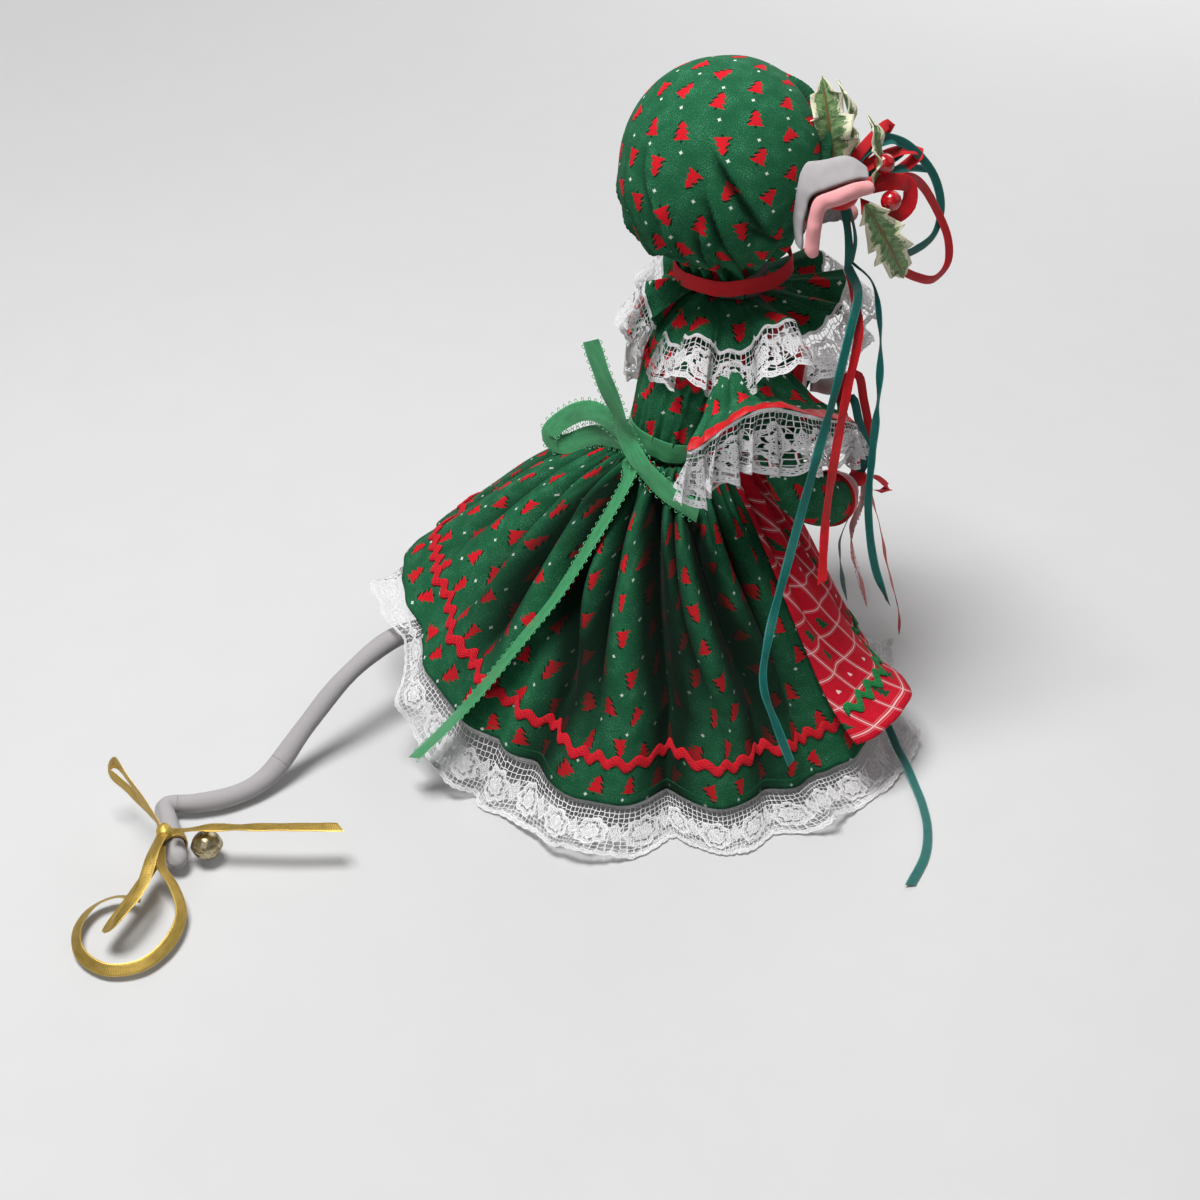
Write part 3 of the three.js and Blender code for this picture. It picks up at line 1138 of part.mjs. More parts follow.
/** A hollow jingle bell with crossed slots below and a wire eye above. */
function buildBell() {
  const centre = vector(-31.5, 175, 6.6);
  const outer = toManifold(ball(BELL_RADIUS, 12, 7));
  const inner = toManifold(ball(BELL_RADIUS - BELL_WALL, 10, 6));
  const slotLength = 2 * BELL_RADIUS * 0.78;
  const slotDepth = BELL_RADIUS;
  const slots = [[slotLength, BELL_SLOT], [BELL_SLOT, slotLength]].map(([x, y]) => (
    toManifold(box(x, y, slotDepth).translate(0, 0, -BELL_RADIUS))
  ));
  const eyeCentre = vector(0, 0, BELL_RADIUS + BELL_EYE_RADIUS - 0.1);
  const eyeRings = Array.from({ length: 10 }, (_, step) => {
    const angle = (step / 10) * 2 * Math.PI;
    const spoke = vector(0, Math.cos(angle), Math.sin(angle));
    const place = eyeCentre.clone().addScaledVector(spoke, BELL_EYE_RADIUS);
    return ellipse(place, vector(1, 0, 0), spoke, BELL_EYE_WIRE, BELL_EYE_WIRE, 5);
  });
  const eye = toManifold(loftSolid(eyeRings, true));
  const shell = slots.reduce((solid, slot) => solid.subtract(slot), outer.subtract(inner)).add(eye);
  add("jingle_bell", fromManifold(shell).translate(centre.x, centre.y, centre.z), "gold");
  const pelletPlace = centre.clone().add(vector(0, 0, -BELL_RADIUS + BELL_WALL + PELLET_RADIUS + GAP));
  add("bell_pellet", aim(ball(PELLET_RADIUS, 8, 4), vector(0, 0, 1), pelletPlace), "gold");
}

buildBase();
buildBody();
buildPetticoat();
buildSkirt();
buildSkirtTrim();
buildApron();
buildBodice();
buildBodiceTrims();
buildCollar();
buildHead();
buildHood();
buildNeckRibbon();
buildEars();
buildCorsage();
buildHeadRibbons();
arms.forEach(buildArm);
buildHandRibbons();
buildSashBow();
buildTail();
buildGoldRibbon();
buildBell();

export default doll;
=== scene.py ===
"""A stuffed mouse doll in a gathered print dress, with a lace petticoat, ribbons and a felt tail.

Sizes are in millimetres in the shape functions and in metres in Blender. The doll faces -Y and
its right side is -X. An azimuth of 0 degrees is its back (+Y), 90 its right and 180 its front.
"""

import math
import bpy
from bpy.props import FloatProperty, FloatVectorProperty, IntProperty, PointerProperty
from mathutils import Matrix, Vector
from mathutils.noise import noise as soft_noise


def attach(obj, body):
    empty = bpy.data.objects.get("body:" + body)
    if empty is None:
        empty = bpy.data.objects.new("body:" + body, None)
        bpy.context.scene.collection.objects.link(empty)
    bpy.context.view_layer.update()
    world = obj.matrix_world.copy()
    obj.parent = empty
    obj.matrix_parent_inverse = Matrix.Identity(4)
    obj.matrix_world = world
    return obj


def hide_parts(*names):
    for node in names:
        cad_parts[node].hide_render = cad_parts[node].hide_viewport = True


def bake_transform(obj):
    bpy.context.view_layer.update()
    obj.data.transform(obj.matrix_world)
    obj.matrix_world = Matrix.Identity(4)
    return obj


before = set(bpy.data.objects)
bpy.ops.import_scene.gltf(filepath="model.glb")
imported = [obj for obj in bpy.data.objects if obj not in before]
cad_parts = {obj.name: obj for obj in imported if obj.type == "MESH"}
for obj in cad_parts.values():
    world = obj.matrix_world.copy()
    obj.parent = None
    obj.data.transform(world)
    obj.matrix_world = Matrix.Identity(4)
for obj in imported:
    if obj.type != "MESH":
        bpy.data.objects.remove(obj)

bpy.ops.object.select_all(action="DESELECT")
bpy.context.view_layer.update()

bl_info = {
    "name": "Mouse Doll",
    "version": (1, 0, 0),
    "blender": (4, 5, 0),
    "location": "View3D > Sidebar > Doll",
    "description": "Dresses a stuffed mouse doll in printed cotton, lace, ribbon and felt",
    "category": "Object",
}

MM = 0.001


# Sizes and colours

class DollSizes(bpy.types.PropertyGroup):
    """The sizes that shape the doll's clothes."""

    skirt_folds: IntProperty(
        name="Skirt folds", description="Deep folds round the skirt", default=10, min=4, max=24)
    fold_depth: FloatProperty(
        name="Fold depth", description="How far a fold stands in or out at the hem",
        default=0.0028, unit="LENGTH")
    lace_depth: FloatProperty(
        name="Petticoat lace", description="How far the lace reaches past the hem",
        default=0.021, unit="LENGTH")
    tree_height: FloatProperty(
        name="Tree height", description="Height of a printed tree", default=0.006, unit="LENGTH")
    tree_spacing: FloatProperty(
        name="Tree spacing", description="Distance between printed trees",
        default=0.0126, unit="LENGTH")
    check_spacing: FloatProperty(
        name="Check spacing", description="Distance between the apron's pale lines",
        default=0.0106, unit="LENGTH")
    braid_pitch: FloatProperty(
        name="Braid pitch", description="Length of one wave of the braid", default=0.0062,
        unit="LENGTH")
    picot_pitch: FloatProperty(
        name="Picot pitch", description="Distance between the ribbon's edge loops",
        default=0.0026, unit="LENGTH")


def colour(name, description, value):
    """A colour property with its default."""
    return FloatVectorProperty(
        name=name, description=description, subtype="COLOR", size=4, min=0, max=1,
        default=(*value, 1))


class DollColours(bpy.types.PropertyGroup):
    """The colours of the doll's cloths and trims, in linear light."""

    cotton: colour("Cotton", "Ground of the printed cotton", (0.014, 0.125, 0.052))
    cotton_dark: colour("Cotton shade", "Darker threads of the cotton", (0.006, 0.07, 0.028))
    tree: colour("Tree", "Printed trees", (0.62, 0.008, 0.018))
    tree_shade: colour("Tree shade", "Dark edge beside each tree", (0.004, 0.02, 0.01))
    speck: colour("Speck", "Small pale diamonds between the trees", (0.62, 0.72, 0.64))
    lace: colour("Lace", "Lace threads", (0.78, 0.77, 0.78))
    apron: colour("Apron", "Ground of the apron check", (0.56, 0.006, 0.022))
    apron_line: colour("Apron line", "Pale lines of the check", (0.78, 0.6, 0.6))
    red_braid: colour("Red braid", "Red wavy braid", (0.66, 0.008, 0.02))
    green_braid: colour("Green braid", "Green wavy braid", (0.01, 0.2, 0.05))
    red_satin: colour("Red satin", "Red ribbon", (0.62, 0.008, 0.014))
    teal_satin: colour("Teal satin", "Teal ribbon", (0.005, 0.13, 0.11))
    green_satin: colour("Green satin", "Green looped ribbon", (0.07, 0.33, 0.14))
    gold: colour("Gold", "Gold ribbon threads", (0.62, 0.42, 0.1))
    grey_felt: colour("Grey felt", "Felt of the head, ears and tail", (0.3, 0.285, 0.29))
    pink_felt: colour("Pink felt", "Felt inside the ears", (0.78, 0.32, 0.32))


PALE_FLECKS = [0.09, 0.3, 0.17, 1]
# Near-black colour of the painted shade laid into the cotton's creases
CREASE_SHADE_COLOUR = [0.001, 0.008, 0.004, 1]


def sizes():
    return bpy.context.scene.doll_sizes


def colours():
    return bpy.context.scene.doll_colours


# Small sums

def lerp(low, high, share):
    return low + (high - low) * share


def smoothstep(value, low, high):
    share = min(max((value - low) / (high - low), 0), 1)
    return share * share * (3 - 2 * share)


def wave(degrees):
    return math.sin(math.radians(degrees))


def bump(value, centre, spread):
    return math.exp(-(((value - centre) / spread) ** 2))


def around(azimuth, radius, height, centre_y):
    """A point at an azimuth round an upright axis."""
    angle = math.radians(azimuth)
    return Vector((-math.sin(angle) * radius, centre_y + math.cos(angle) * radius, height))


def turn_between(azimuth, other):
    """The turn from one azimuth to another, from -180 to 180 degrees."""
    return (azimuth - other + 540) % 360 - 180


CURVE_STEPS = 24


def station_at(stations, at):
    """The two stations beside a place, and the share of the way from one to the other."""
    pairs = list(zip(stations, stations[1:]))
    low, high = next((pair for pair in pairs if at <= pair[1][0]), pairs[-1])
    return low, high, (at - low[0]) / (high[0] - low[0])


def smooth_line(places, count):
    """Evenly spaced points on the centripetal curve through some places."""
    spots = [Vector(place) for place in places]
    first = spots[0] * 2 - spots[1]
    last = spots[-1] * 2 - spots[-2]
    spots = [first, *spots, last]
    fine = []
    for a, b, c, d in zip(spots, spots[1:], spots[2:], spots[3:]):
        knots = [0.0]
        for here, there in ((a, b), (b, c), (c, d)):
            knots.append(knots[-1] + max((there - here).length, 1e-4) ** 0.5)
        for step in range(CURVE_STEPS):
            t = lerp(knots[1], knots[2], step / CURVE_STEPS)
            ab = a.lerp(b, (t - knots[0]) / (knots[1] - knots[0]))
            bc = b.lerp(c, (t - knots[1]) / (knots[2] - knots[1]))
            cd = c.lerp(d, (t - knots[2]) / (knots[3] - knots[2]))
            abc = ab.lerp(bc, (t - knots[0]) / (knots[2] - knots[0]))
            bcd = bc.lerp(cd, (t - knots[1]) / (knots[3] - knots[1]))
            fine.append(abc.lerp(bcd, (t - knots[1]) / (knots[2] - knots[1])))
    fine.append(spots[-2])
    reach = [0.0]
    for here, there in zip(fine, fine[1:]):
        reach.append(reach[-1] + (there - here).length)
    line = []
    at = 0
    for step in range(count + 1):
        target = reach[-1] * step / count
        while at < len(fine) - 2 and reach[at + 1] < target:
            at += 1
        span = max(reach[at + 1] - reach[at], 1e-9)
        line.append(fine[at].lerp(fine[at + 1], (target - reach[at]) / span))
    return line, reach[-1]


# Cutting and sewing meshes

RIBBON_THICKNESS = 0.2
RIBBON_SHARES = (-0.5, -0.44, -0.25, 0, 0.25, 0.44, 0.5)
RIPPLE_RATE = 0.09
THREAD_RADIUS = 0.14
PICOT_RADIUS = 0.62
SATIN_ANGLE = 50


class Cut:
    """Cloth, ribbon and felt shapes gathered into one mesh, with a UV map in millimetres and a painted
    crease shade for each point.
    """

    SQUARE = ((0, 0), (1, 0), (1, 1), (0, 1))

    def __init__(self):
        self.points = []
        self.faces = []
        self.flat = []
        self.kinds = []
        # Painted shade in the creases, from 0 to 1, for each point that has one
        self.creases = {}

    def face(self, corners, flat, kind=0, turned=False):
        """One face, with its corners on the uncut cloth, turned over if asked."""
        if turned:
            corners.reverse()
            flat.reverse()
        self.faces.append(corners)
        self.flat.extend(flat)
        self.kinds.append(kind)

    def grid(self, at, flat, columns, rows, wraps=False, inside_out=False, crease=None):
        """A grid of quads; at gives places and flat the same corners on the uncut cloth, and crease gives
        each point's painted shade.
        """
        start = len(self.points)
        across = columns if wraps else columns + 1
        for row in range(rows + 1):
            for column in range(across):
                if crease:
                    self.creases[len(self.points)] = min(max(crease(column, row), 0.0), 1.0)
                self.points.append(at(column, row) * MM)
        for row in range(rows):
            for column in range(columns):
                here = start + row * across + column
                beside = start + row * across + (column + 1) % across
                corners = [here, beside, beside + across, here + across]
                spread = [flat(column + right, row + up) for right, up in self.SQUARE]
                self.face(corners, spread, turned=not inside_out)

    def tube(self, rings, flat, kind=0, capped=True):
        """A closed body through rings of points, with flat ends."""
        start = len(self.points)
        count = len(rings[0])
        for ring in rings:
            self.points.extend(point * MM for point in ring)
        for span in range(len(rings) - 1):
            for side in range(count):
                after = (side + 1) % count
                low = start + span * count
                corners = [low + side, low + after, low + count + after, low + count + side]
                spread = [flat(side + right, span + up) for right, up in self.SQUARE]
                self.face(corners, spread, kind)
        for span in (0, len(rings) - 1) if capped else ():
            corners = [start + span * count + side for side in range(count)]
            self.face(corners, [flat(side, span) for side in range(count)], kind, span == 0)

    @staticmethod
    def facings(facing):
        """The sides that a ribbon turns between, from one side or several."""
        several = facing if isinstance(facing[0], tuple) else (facing, facing)
        return [Vector(side) for side in several]

    @staticmethod
    def frame_at(facings, share, tangent):
        """The ribbon's normal and its sideways direction at a share of its length."""
        spot = share * (len(facings) - 1)
        low = min(int(spot), len(facings) - 2)
        up = facings[low].lerp(facings[low + 1], spot - low)
        normal = (up - tangent * up.dot(tangent)).normalized()
        return normal, tangent.cross(normal)

    def ribbon(self, places, facing, width, count, cut=0.0, camber=0.012, ripple=0.0, kind=0):
        """A flat ribbon through places; facing is its flat side, or the sides it turns between."""
        line, length = smooth_line(places, count)
        facings = self.facings(facing)
        rings = []
        for step, point in enumerate(line):
            tangent = (line[min(step + 1, count)] - line[max(step - 1, 0)]).normalized()
            share = step / count
            normal, side = self.frame_at(facings, share, tangent)
            if ripple:
                spot = Vector((share * length * RIPPLE_RATE, places[0][0], places[0][2]))
                turned = Matrix.Rotation(ripple * soft_noise(spot), 3, tangent)
                normal, side = turned @ normal, turned @ side
            top = []
            bottom = []
            for across in RIBBON_SHARES:
                bow = camber * width * (1 - (2 * across) ** 2)
                slant = tangent * (cut * across * width * smoothstep(share, 0.9, 1))
                place = point + side * (across * width) + normal * bow + slant
                half = RIBBON_THICKNESS / 2 * (0.55 if abs(across) == 0.5 else 1.0)
                top.append(place + normal * half)
                bottom.append(place - normal * half)
            rings.append(bottom + top[::-1])
        spread = [(share + 0.5) * width for share in (*RIBBON_SHARES, *reversed(RIBBON_SHARES))]
        flat = lambda side, span: (spread[side % len(spread)], length * span / count)
        self.tube(rings, flat, kind)
        return line, length

    def picots(self, places, facing, width, count, kind=0):
        """Small thread loops along both edges of a ribbon."""
        line, length = smooth_line(places, count)
        facings = self.facings(facing)
        loops = int(length / (sizes().picot_pitch / MM))
        for index in range(loops):
            spot = (index + 0.5) / loops * count
            low = min(int(spot), count - 1)
            point = line[low].lerp(line[low + 1], spot - low)
            tangent = (line[low + 1] - line[low]).normalized()
            normal, side = self.frame_at(facings, spot / count, tangent)
            for edge in (-1, 1):
                lean = tangent * (0.12 * wave(index * 83 + edge * 40))
                foot = point + side * (edge * (width / 2 - 0.1))
                self.loop(foot, side * edge + lean, tangent, normal, kind)

    def loop(self, foot, outward, tangent, normal, kind):
        """One thread loop that stands on an edge."""
        rings = []
        for step in range(7):
            angle = math.radians(lerp(-150, 150, step / 6))
            spoke = outward * math.cos(angle) + tangent * math.sin(angle)
            middle = foot + outward * (PICOT_RADIUS * 0.95) + spoke * PICOT_RADIUS
            rings.append([
                middle + way * THREAD_RADIUS for way in (spoke, normal, -spoke, -normal)])
        self.tube(rings, lambda side, span: (0.1 * side, 0.1 * span), kind)

    def ball(self, centre, radii):
        """A closed round body, with its poles on Z."""
        columns, rows = 28, 16
        rings = []
        for row in range(rows + 1):
            polar = math.radians(lerp(1.5, 178.5, row / rows))
            rings.append([
                centre + Vector((
                    radii[0] * math.sin(polar) * math.cos(turn * math.tau / columns),
                    radii[1] * math.sin(polar) * math.sin(turn * math.tau / columns),
                    radii[2] * math.cos(polar),
                ))
                for turn in range(columns)
            ])
        self.tube([ring[::-1] for ring in rings], lambda side, span: (side, span))

    def make(self, name, *finishes):
        """The finished object, smooth shaded, with its place in its mesh."""
        mesh = bpy.data.meshes.new(name)
        mesh.from_pydata(self.points, [], self.faces)
        layer = mesh.uv_layers.new(name="UVMap")
        layer.data.foreach_set("uv", [value for pair in self.flat for value in pair])
        # The painted crease shade is kept on the mesh as a point attribute
        crease = mesh.attributes.new("CreaseShade", "FLOAT", "POINT")
        shades = [self.creases.get(index, 0.0) for index in range(len(self.points))]
        crease.data.foreach_set("value", shades)
        for finish in finishes:
            mesh.materials.append(finish)
        mesh.polygons.foreach_set("material_index", self.kinds)
        mesh.polygons.foreach_set("use_smooth", [True] * len(self.faces))
        mesh.update()
        piece = bpy.data.objects.new(name, mesh)
        bpy.context.scene.collection.objects.link(piece)
        return piece


def only(piece):
    """Makes a piece the only selected and active one."""
    bpy.ops.object.select_all(action="DESELECT")
    piece.select_set(True)
    bpy.context.view_layer.objects.active = piece


def thicken(piece, thickness, offset=-1.0):
    """Gives a cloth its thickness, in millimetres, on its inner side."""
    only(piece)
    bpy.ops.object.modifier_add(type="SOLIDIFY")
    modifier = piece.modifiers[-1]
    modifier.thickness = thickness * MM
    modifier.offset = offset
    bpy.ops.object.modifier_apply(modifier=modifier.name)


def sharpen(piece, degrees):
    """Smooth shading, but for edges sharper than some degrees."""
    only(piece)
    bpy.ops.object.shade_smooth_by_angle(angle=math.radians(degrees))


def satin_ring(name, rings, width, pitch, finish):
    """A flat ribbon sewn into a ring, through cross sections of six points."""
    across = (0, width / 2, width, width, width / 2, 0)
    cut = Cut()
    cut.tube([*rings, rings[0]], lambda side, span: (across[side % 6], pitch * span), capped=False)
    band = cut.make(name, finish)
    sharpen(band, SATIN_ANGLE)
    return band


def fit(piece, body, slot, node):
    """Rides a piece on its body, in place of its CAD node. The slot is not used."""
    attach(piece, body)
    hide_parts(node)


# Finishes

class Signal:
    """A node's output, which adds, multiplies and compares like a number by way of more nodes."""

    def __init__(self, bench, socket):
        self.bench = bench
        self.socket = socket

    def __rsub__(self, other):
        return self.bench.calc("SUBTRACT", other, self)

    def step(self, low, high, start=0.0, end=1.0):
        """A smooth step from start to end as this goes from low to high."""
        node = self.bench.node(
            "ShaderNodeMapRange", {"interpolation_type": "SMOOTHSTEP"}, Value=self, From_Min=low,
            From_Max=high, To_Min=start, To_Max=end)
        return Signal(self.bench, node.outputs[0])

    def fall(self, low, high):
        """A smooth step from 1 down to 0."""
        return self.step(low, high, 1.0, 0.0)

    def line(self, centre, half, soft=0.12):
        """1 where this is within half of a centre."""
        return abs(self - centre).fall(half - soft / 2, half + soft / 2)


OPERATIONS = {
    "__add__": "ADD", "__sub__": "SUBTRACT", "__mul__": "MULTIPLY", "__truediv__": "DIVIDE",
    "__mod__": "FLOORED_MODULO", "__pow__": "POWER", "__or__": "MAXIMUM", "__gt__": "GREATER_THAN",
    "__lt__": "LESS_THAN", "__abs__": "ABSOLUTE", "floor": "FLOOR", "fract": "FRACT",
    "rounded": "ROUND", "sine": "SINE", "cosine": "COSINE", "root": "SQRT",
}
for method, operation in OPERATIONS.items():
    setattr(Signal, method, lambda self, *others, kind=operation: self.bench.calc(
        kind, self, *others))


class Bench:
    """Adds nodes to a material or a group, one step at a time."""

    def __init__(self, tree):
        self.tree = tree

    def feed(self, socket, value):
        """Links a socket to a signal, or sets it."""
        if isinstance(value, Signal):
            self.tree.links.new(value.socket, socket)
        else:
            socket.default_value = value

    def node(self, kind, settings=None, **inputs):
        node = self.tree.nodes.new(kind)
        for name, value in (settings or {}).items():
            setattr(node, name, value)
        for name, value in inputs.items():
            self.feed(node.inputs[name.replace("_", " ")], value)
        return node

    def signals(self, kind, settings=None, **inputs):
        """A new node's outputs, by name."""
        outputs = self.node(kind, settings, **inputs).outputs
        return {socket.name: Signal(self, socket) for socket in outputs}

    def calc(self, operation, *values):
        node = self.node("ShaderNodeMath", {"operation": operation})
        for socket, value in zip(node.inputs, values):
            self.feed(socket, value)
        return Signal(self, node.outputs[0])

    def mix(self, mask, low, high):
        """A colour between two others."""
        node = self.node("ShaderNodeMix", {"data_type": "RGBA"})
        for index, value in ((0, mask), (6, low), (7, high)):
            self.feed(node.inputs[index], value)
        return Signal(self, node.outputs[2])

    def vector(self, x, y, z=0.0):
        return self.signals("ShaderNodeCombineXYZ", X=x, Y=y, Z=z)["Vector"]

    def parts(self, vector):
        return list(self.signals("ShaderNodeSeparateXYZ", Vector=vector).values())

    def noise(self, vector, scale, detail=2.0, roughness=0.5):
        node = self.node(
            "ShaderNodeTexNoise", Vector=vector, Scale=scale, Detail=detail, Roughness=roughness)
        return Signal(self, node.outputs[0])

    def chance(self, vector):
        """Three even random numbers for a cell."""
        dice = self.signals("ShaderNodeTexWhiteNoise", {"noise_dimensions": "2D"}, Vector=vector)
        return self.parts(dice["Color"])

    def flat_place(self):
        """The UV map, in millimetres of flat cloth."""
        return self.parts(self.signals("ShaderNodeUVMap", {"uv_map": "UVMap"})["UV"])[:2]

    def solid_place(self):
        """Object coordinates, in millimetres."""
        place = self.signals("ShaderNodeTexCoord")["Object"]
        scaling = {"operation": "SCALE"}
        return self.signals("ShaderNodeVectorMath", scaling, Vector=place, Scale=1 / MM)["Vector"]

    def group(self, name, **inputs):
        """One of the shared groups, placed with this material's values."""
        return self.signals("ShaderNodeGroup", {"node_tree": bpy.data.node_groups[name]}, **inputs)


def woven_threads(bench, place):
    """Fine mottled threads of a plain woven cloth. Place is in millimetres."""
    fine = bench.noise(place, 2.6, 1.0, 0.6)
    broad = bench.noise(place, 0.16, 2.0, 0.5)
    x, y, _ = bench.parts(place)
    threads = (x * 14).sine() * (y * 14).sine() * 0.25 + 0.5
    return fine * 0.75 + broad * 0.35, fine * 0.6 + threads * 0.4


SPECK_SHIFT = 5.4
TIERS = 2.98


def tree_print(bench, around_it, rise, girth, taper, height, spacing):
    """Scattered three-tier trees with a dark edge, and pale diamonds between them.

    Around runs from 0 to 1000 once round the cloth and Rise is in millimetres. Girth is the length
    of 1000 at a rise of 0, and Taper is how much shorter it gets for each millimetre of rise."""

    def cells(shift, scatter):
        """The place from the middle of its own motif, and the cell's random numbers."""
        raised = rise + shift * SPECK_SHIFT
        row = (raised / spacing).floor()
        middle = (row + 0.5) * spacing
        here = (girth - (middle - shift * SPECK_SHIFT) * taper) | spacing
        count = (here / spacing).rounded() | 1.0
        turn = around_it * 0.001 * count + (row % 2.0) * 0.5 + shift * 0.25
        cell = turn.floor()
        luck = bench.chance(bench.vector(cell + shift * 61.0, row))
        across = (turn - cell - 0.5) * (here / count) + (luck[0] - 0.5) * scatter
        return across, raised - middle + (luck[1] - 0.5) * scatter, luck

    across, up, luck = cells(0.0, 2.6)
    tilt = (luck[2] > 0.58) * math.pi + (luck[2] * 7.0).fract() * 1.1 - 0.55
    side = across * tilt.cosine() - up * tilt.sine()
    tall = across * tilt.sine() + up * tilt.cosine()

    def tree(side, tall):
        fall = (height * 0.5 - tall) / height
        rough = bench.noise(bench.vector(side, tall, luck[0]), 1.9) * 1.7 - 0.85
        half = fall * 1.6 + (fall * TIERS).fract() * 1.15 + 0.05 + rough
        inside = fall.step(0.0, 0.02) * fall.fall(0.97, 1.0)
        needles = (half - abs(side)).step(-0.12, 0.12) * inside
        return needles, side.line(0.0, 0.4) * fall.line(1.05, 0.09, 0.03)

    needles, trunk = tree(side, tall)
    behind, _ = tree(side - 0.42, tall - 0.5)
    bare = 1.0 - needles
    across, up, _ = cells(1.0, 3.0)
    diamond = (abs(across) ** 0.7 + abs(up) ** 0.7).fall(0.75, 1.0)
    return needles, (behind | trunk) * bare, diamond * bare


ROSE_PERIOD = 17.0
BOB_PERIOD = 3.4


def lace_threads(bench, along, down, width):
    """Machine lace: a six-sided net, roses with thick outlines, and a dense scalloped edge.

    Along and Down are in millimetres, Down from the seam; Width is the lace's whole depth."""
    place = bench.vector(along, down)

    def net(size, thread, randomness):
        cells = bench.signals(
            "ShaderNodeTexVoronoi", {"voronoi_dimensions": "2D", "feature": "DISTANCE_TO_EDGE"},
            Vector=place, Scale=1 / size, Randomness=randomness)
        return (cells["Distance"] * size).fall(thread * 0.5, thread * 1.1)

    coarse = net(1.9, 0.2, 0.3)
    dense = net(0.7, 0.24, 0.8)
    rise = width - down
    turn = along % ROSE_PERIOD - ROSE_PERIOD / 2
    up = rise - width * 0.5
    wobble = bench.noise(place, 0.35, 1.0) * 1.8 - 0.9
    reach = (turn * turn + up * up).root() + wobble
    petals = abs((bench.calc("ARCTAN2", up, turn) * 3.5).sine())
    outer = reach - (petals + 5.0)
    inner = reach - (petals * 0.9 + 2.3)
    ring = outer.line(0.0, 0.4) | outer.line(-0.75, 0.75) * dense
    rose = inner.line(0.0, 0.36) | inner.fall(-0.2, 0.0) * dense
    heart = reach.fall(0.7, 1.0)
    beside = (along + ROSE_PERIOD / 2) % ROSE_PERIOD - ROSE_PERIOD / 2
    leaf = abs(beside) + abs(up + beside * 0.5 - 1.0) * 0.55 + wobble
    leaves = leaf.line(2.3, 0.24) | leaf.fall(2.2, 2.4) * dense
    bob = abs((along * (math.pi / BOB_PERIOD)).sine())
    sweep = abs((along * (math.pi / ROSE_PERIOD)).sine())
    edge = rise - (bob * -0.7 + 0.75 + sweep * -1.7 + 1.7)
    border = edge.line(0.3, 0.36) | edge.line(2.3, 0.3) | edge.fall(2.2, 2.4) * dense
    vine = (up - (along * (math.tau / ROSE_PERIOD)).sine() * 4.6).line(0.6, 0.26)
    thick = ring | rose | heart | leaves | border | vine
    threads = coarse | thick | down.line(0.5, 0.5)
    return threads * edge.step(-0.05, 0.05), coarse * 0.4 + thick * 0.6


def ribbon_weave(bench, across, along, width, rib):
    """Fine cross ribs and stitched edges of a woven ribbon. Across and Along are in millimetres."""
    ribs = (along * math.tau / rib).sine()
    streaks = bench.noise(bench.vector(across * 3.0, along * 0.15), 1.0)
    mottle = bench.noise(bench.vector(across * 2.0, along), 0.25)
    half = width * 0.5
    edge = (half - abs(across - half)).fall(0.25, 0.45)
    stitch = (along * 7.5).sine().step(-0.3, 0.3)
    return streaks * 0.5 + mottle * 0.5, ribs * 0.25 + 0.5 + edge * 0.5, edge * (stitch * 0.7 + 0.3)


def felt_fibres(bench, place):
    """Matted fibres of wool felt. Place is in millimetres."""
    fibres = bench.noise(place, 1.9, 4.0, 0.7)
    clumps = bench.noise(place, 0.45)
    broad = bench.noise(place, 0.09, 1.0)
    return fibres * 0.7 + clumps * 0.3 + broad * 0.3 - 0.15, fibres * 0.6 + clumps * 0.4


GROUPS = {
    "Woven threads": (woven_threads, ("Place",), ("Shade", "Height")),
    "Tree print": (
        tree_print, ("Around", "Rise", "Girth", "Taper", "Height", "Spacing"),
        ("Trees", "Edges", "Specks")),
    "Lace threads": (lace_threads, ("Along", "Down", "Width"), ("Threads", "Height")),
    "Ribbon weave": (
        ribbon_weave, ("Across", "Along", "Width", "Rib"), ("Shade", "Height", "Edge")),
    "Felt fibres": (felt_fibres, ("Place",), ("Shade", "Height")),
}


def make_groups():
    """Draws every shared group: masks and heights only, for the materials to colour."""
    for name, (draw, inputs, outputs) in GROUPS.items():
        tree = bpy.data.node_groups.new(name, "ShaderNodeTree")
        for title in inputs:
            kind = "NodeSocketVector" if title == "Place" else "NodeSocketFloat"
            tree.interface.new_socket(title, in_out="INPUT", socket_type=kind)
        for title in outputs:
            tree.interface.new_socket(title, in_out="OUTPUT", socket_type="NodeSocketFloat")
        bench = Bench(tree)
        given = [Signal(bench, socket) for socket in tree.nodes.new("NodeGroupInput").outputs]
        results = draw(bench, *given[:len(inputs)])
        for socket, result in zip(tree.nodes.new("NodeGroupOutput").inputs, results):
            bench.feed(socket, result)


def dimmed(colour, share=1.0):
    """A colour with a share of its light."""
    return [value * share for value in colour[:3]] + [1]


def mottled(bench, mask, colour, share):
    """A colour whose shade varies down to a share of its light."""
    return bench.mix(mask, dimmed(colour, share), dimmed(colour))


class Finish(Bench):
    """A new material with its shader."""

    def __init__(self, name, sheen=0.0, coat=0.0, metal=0.0, gloss=0.5):
        self.material = bpy.data.materials.new(name)
        self.material.use_nodes = True
        super().__init__(self.material.node_tree)
        self.inputs = self.tree.nodes["Principled BSDF"].inputs
        for title, value in (
                ("Sheen Weight", sheen), ("Sheen Roughness", 0.4), ("Coat Weight", coat),
                ("Coat Roughness", 0.15), ("Metallic", metal), ("Specular IOR Level", gloss)):
            self.inputs[title].default_value = value

    def done(self, ink, roughness, height, strength, distance):
        """Feeds the shader; the distance of the raised surface is in millimetres."""
        self.feed(self.inputs["Base Color"], ink)
        self.feed(self.inputs["Roughness"], roughness)
        bump_node = self.signals(
            "ShaderNodeBump", Height=height, Strength=strength, Distance=distance * MM)
        self.feed(self.inputs["Normal"], bump_node["Normal"])
        return self.material


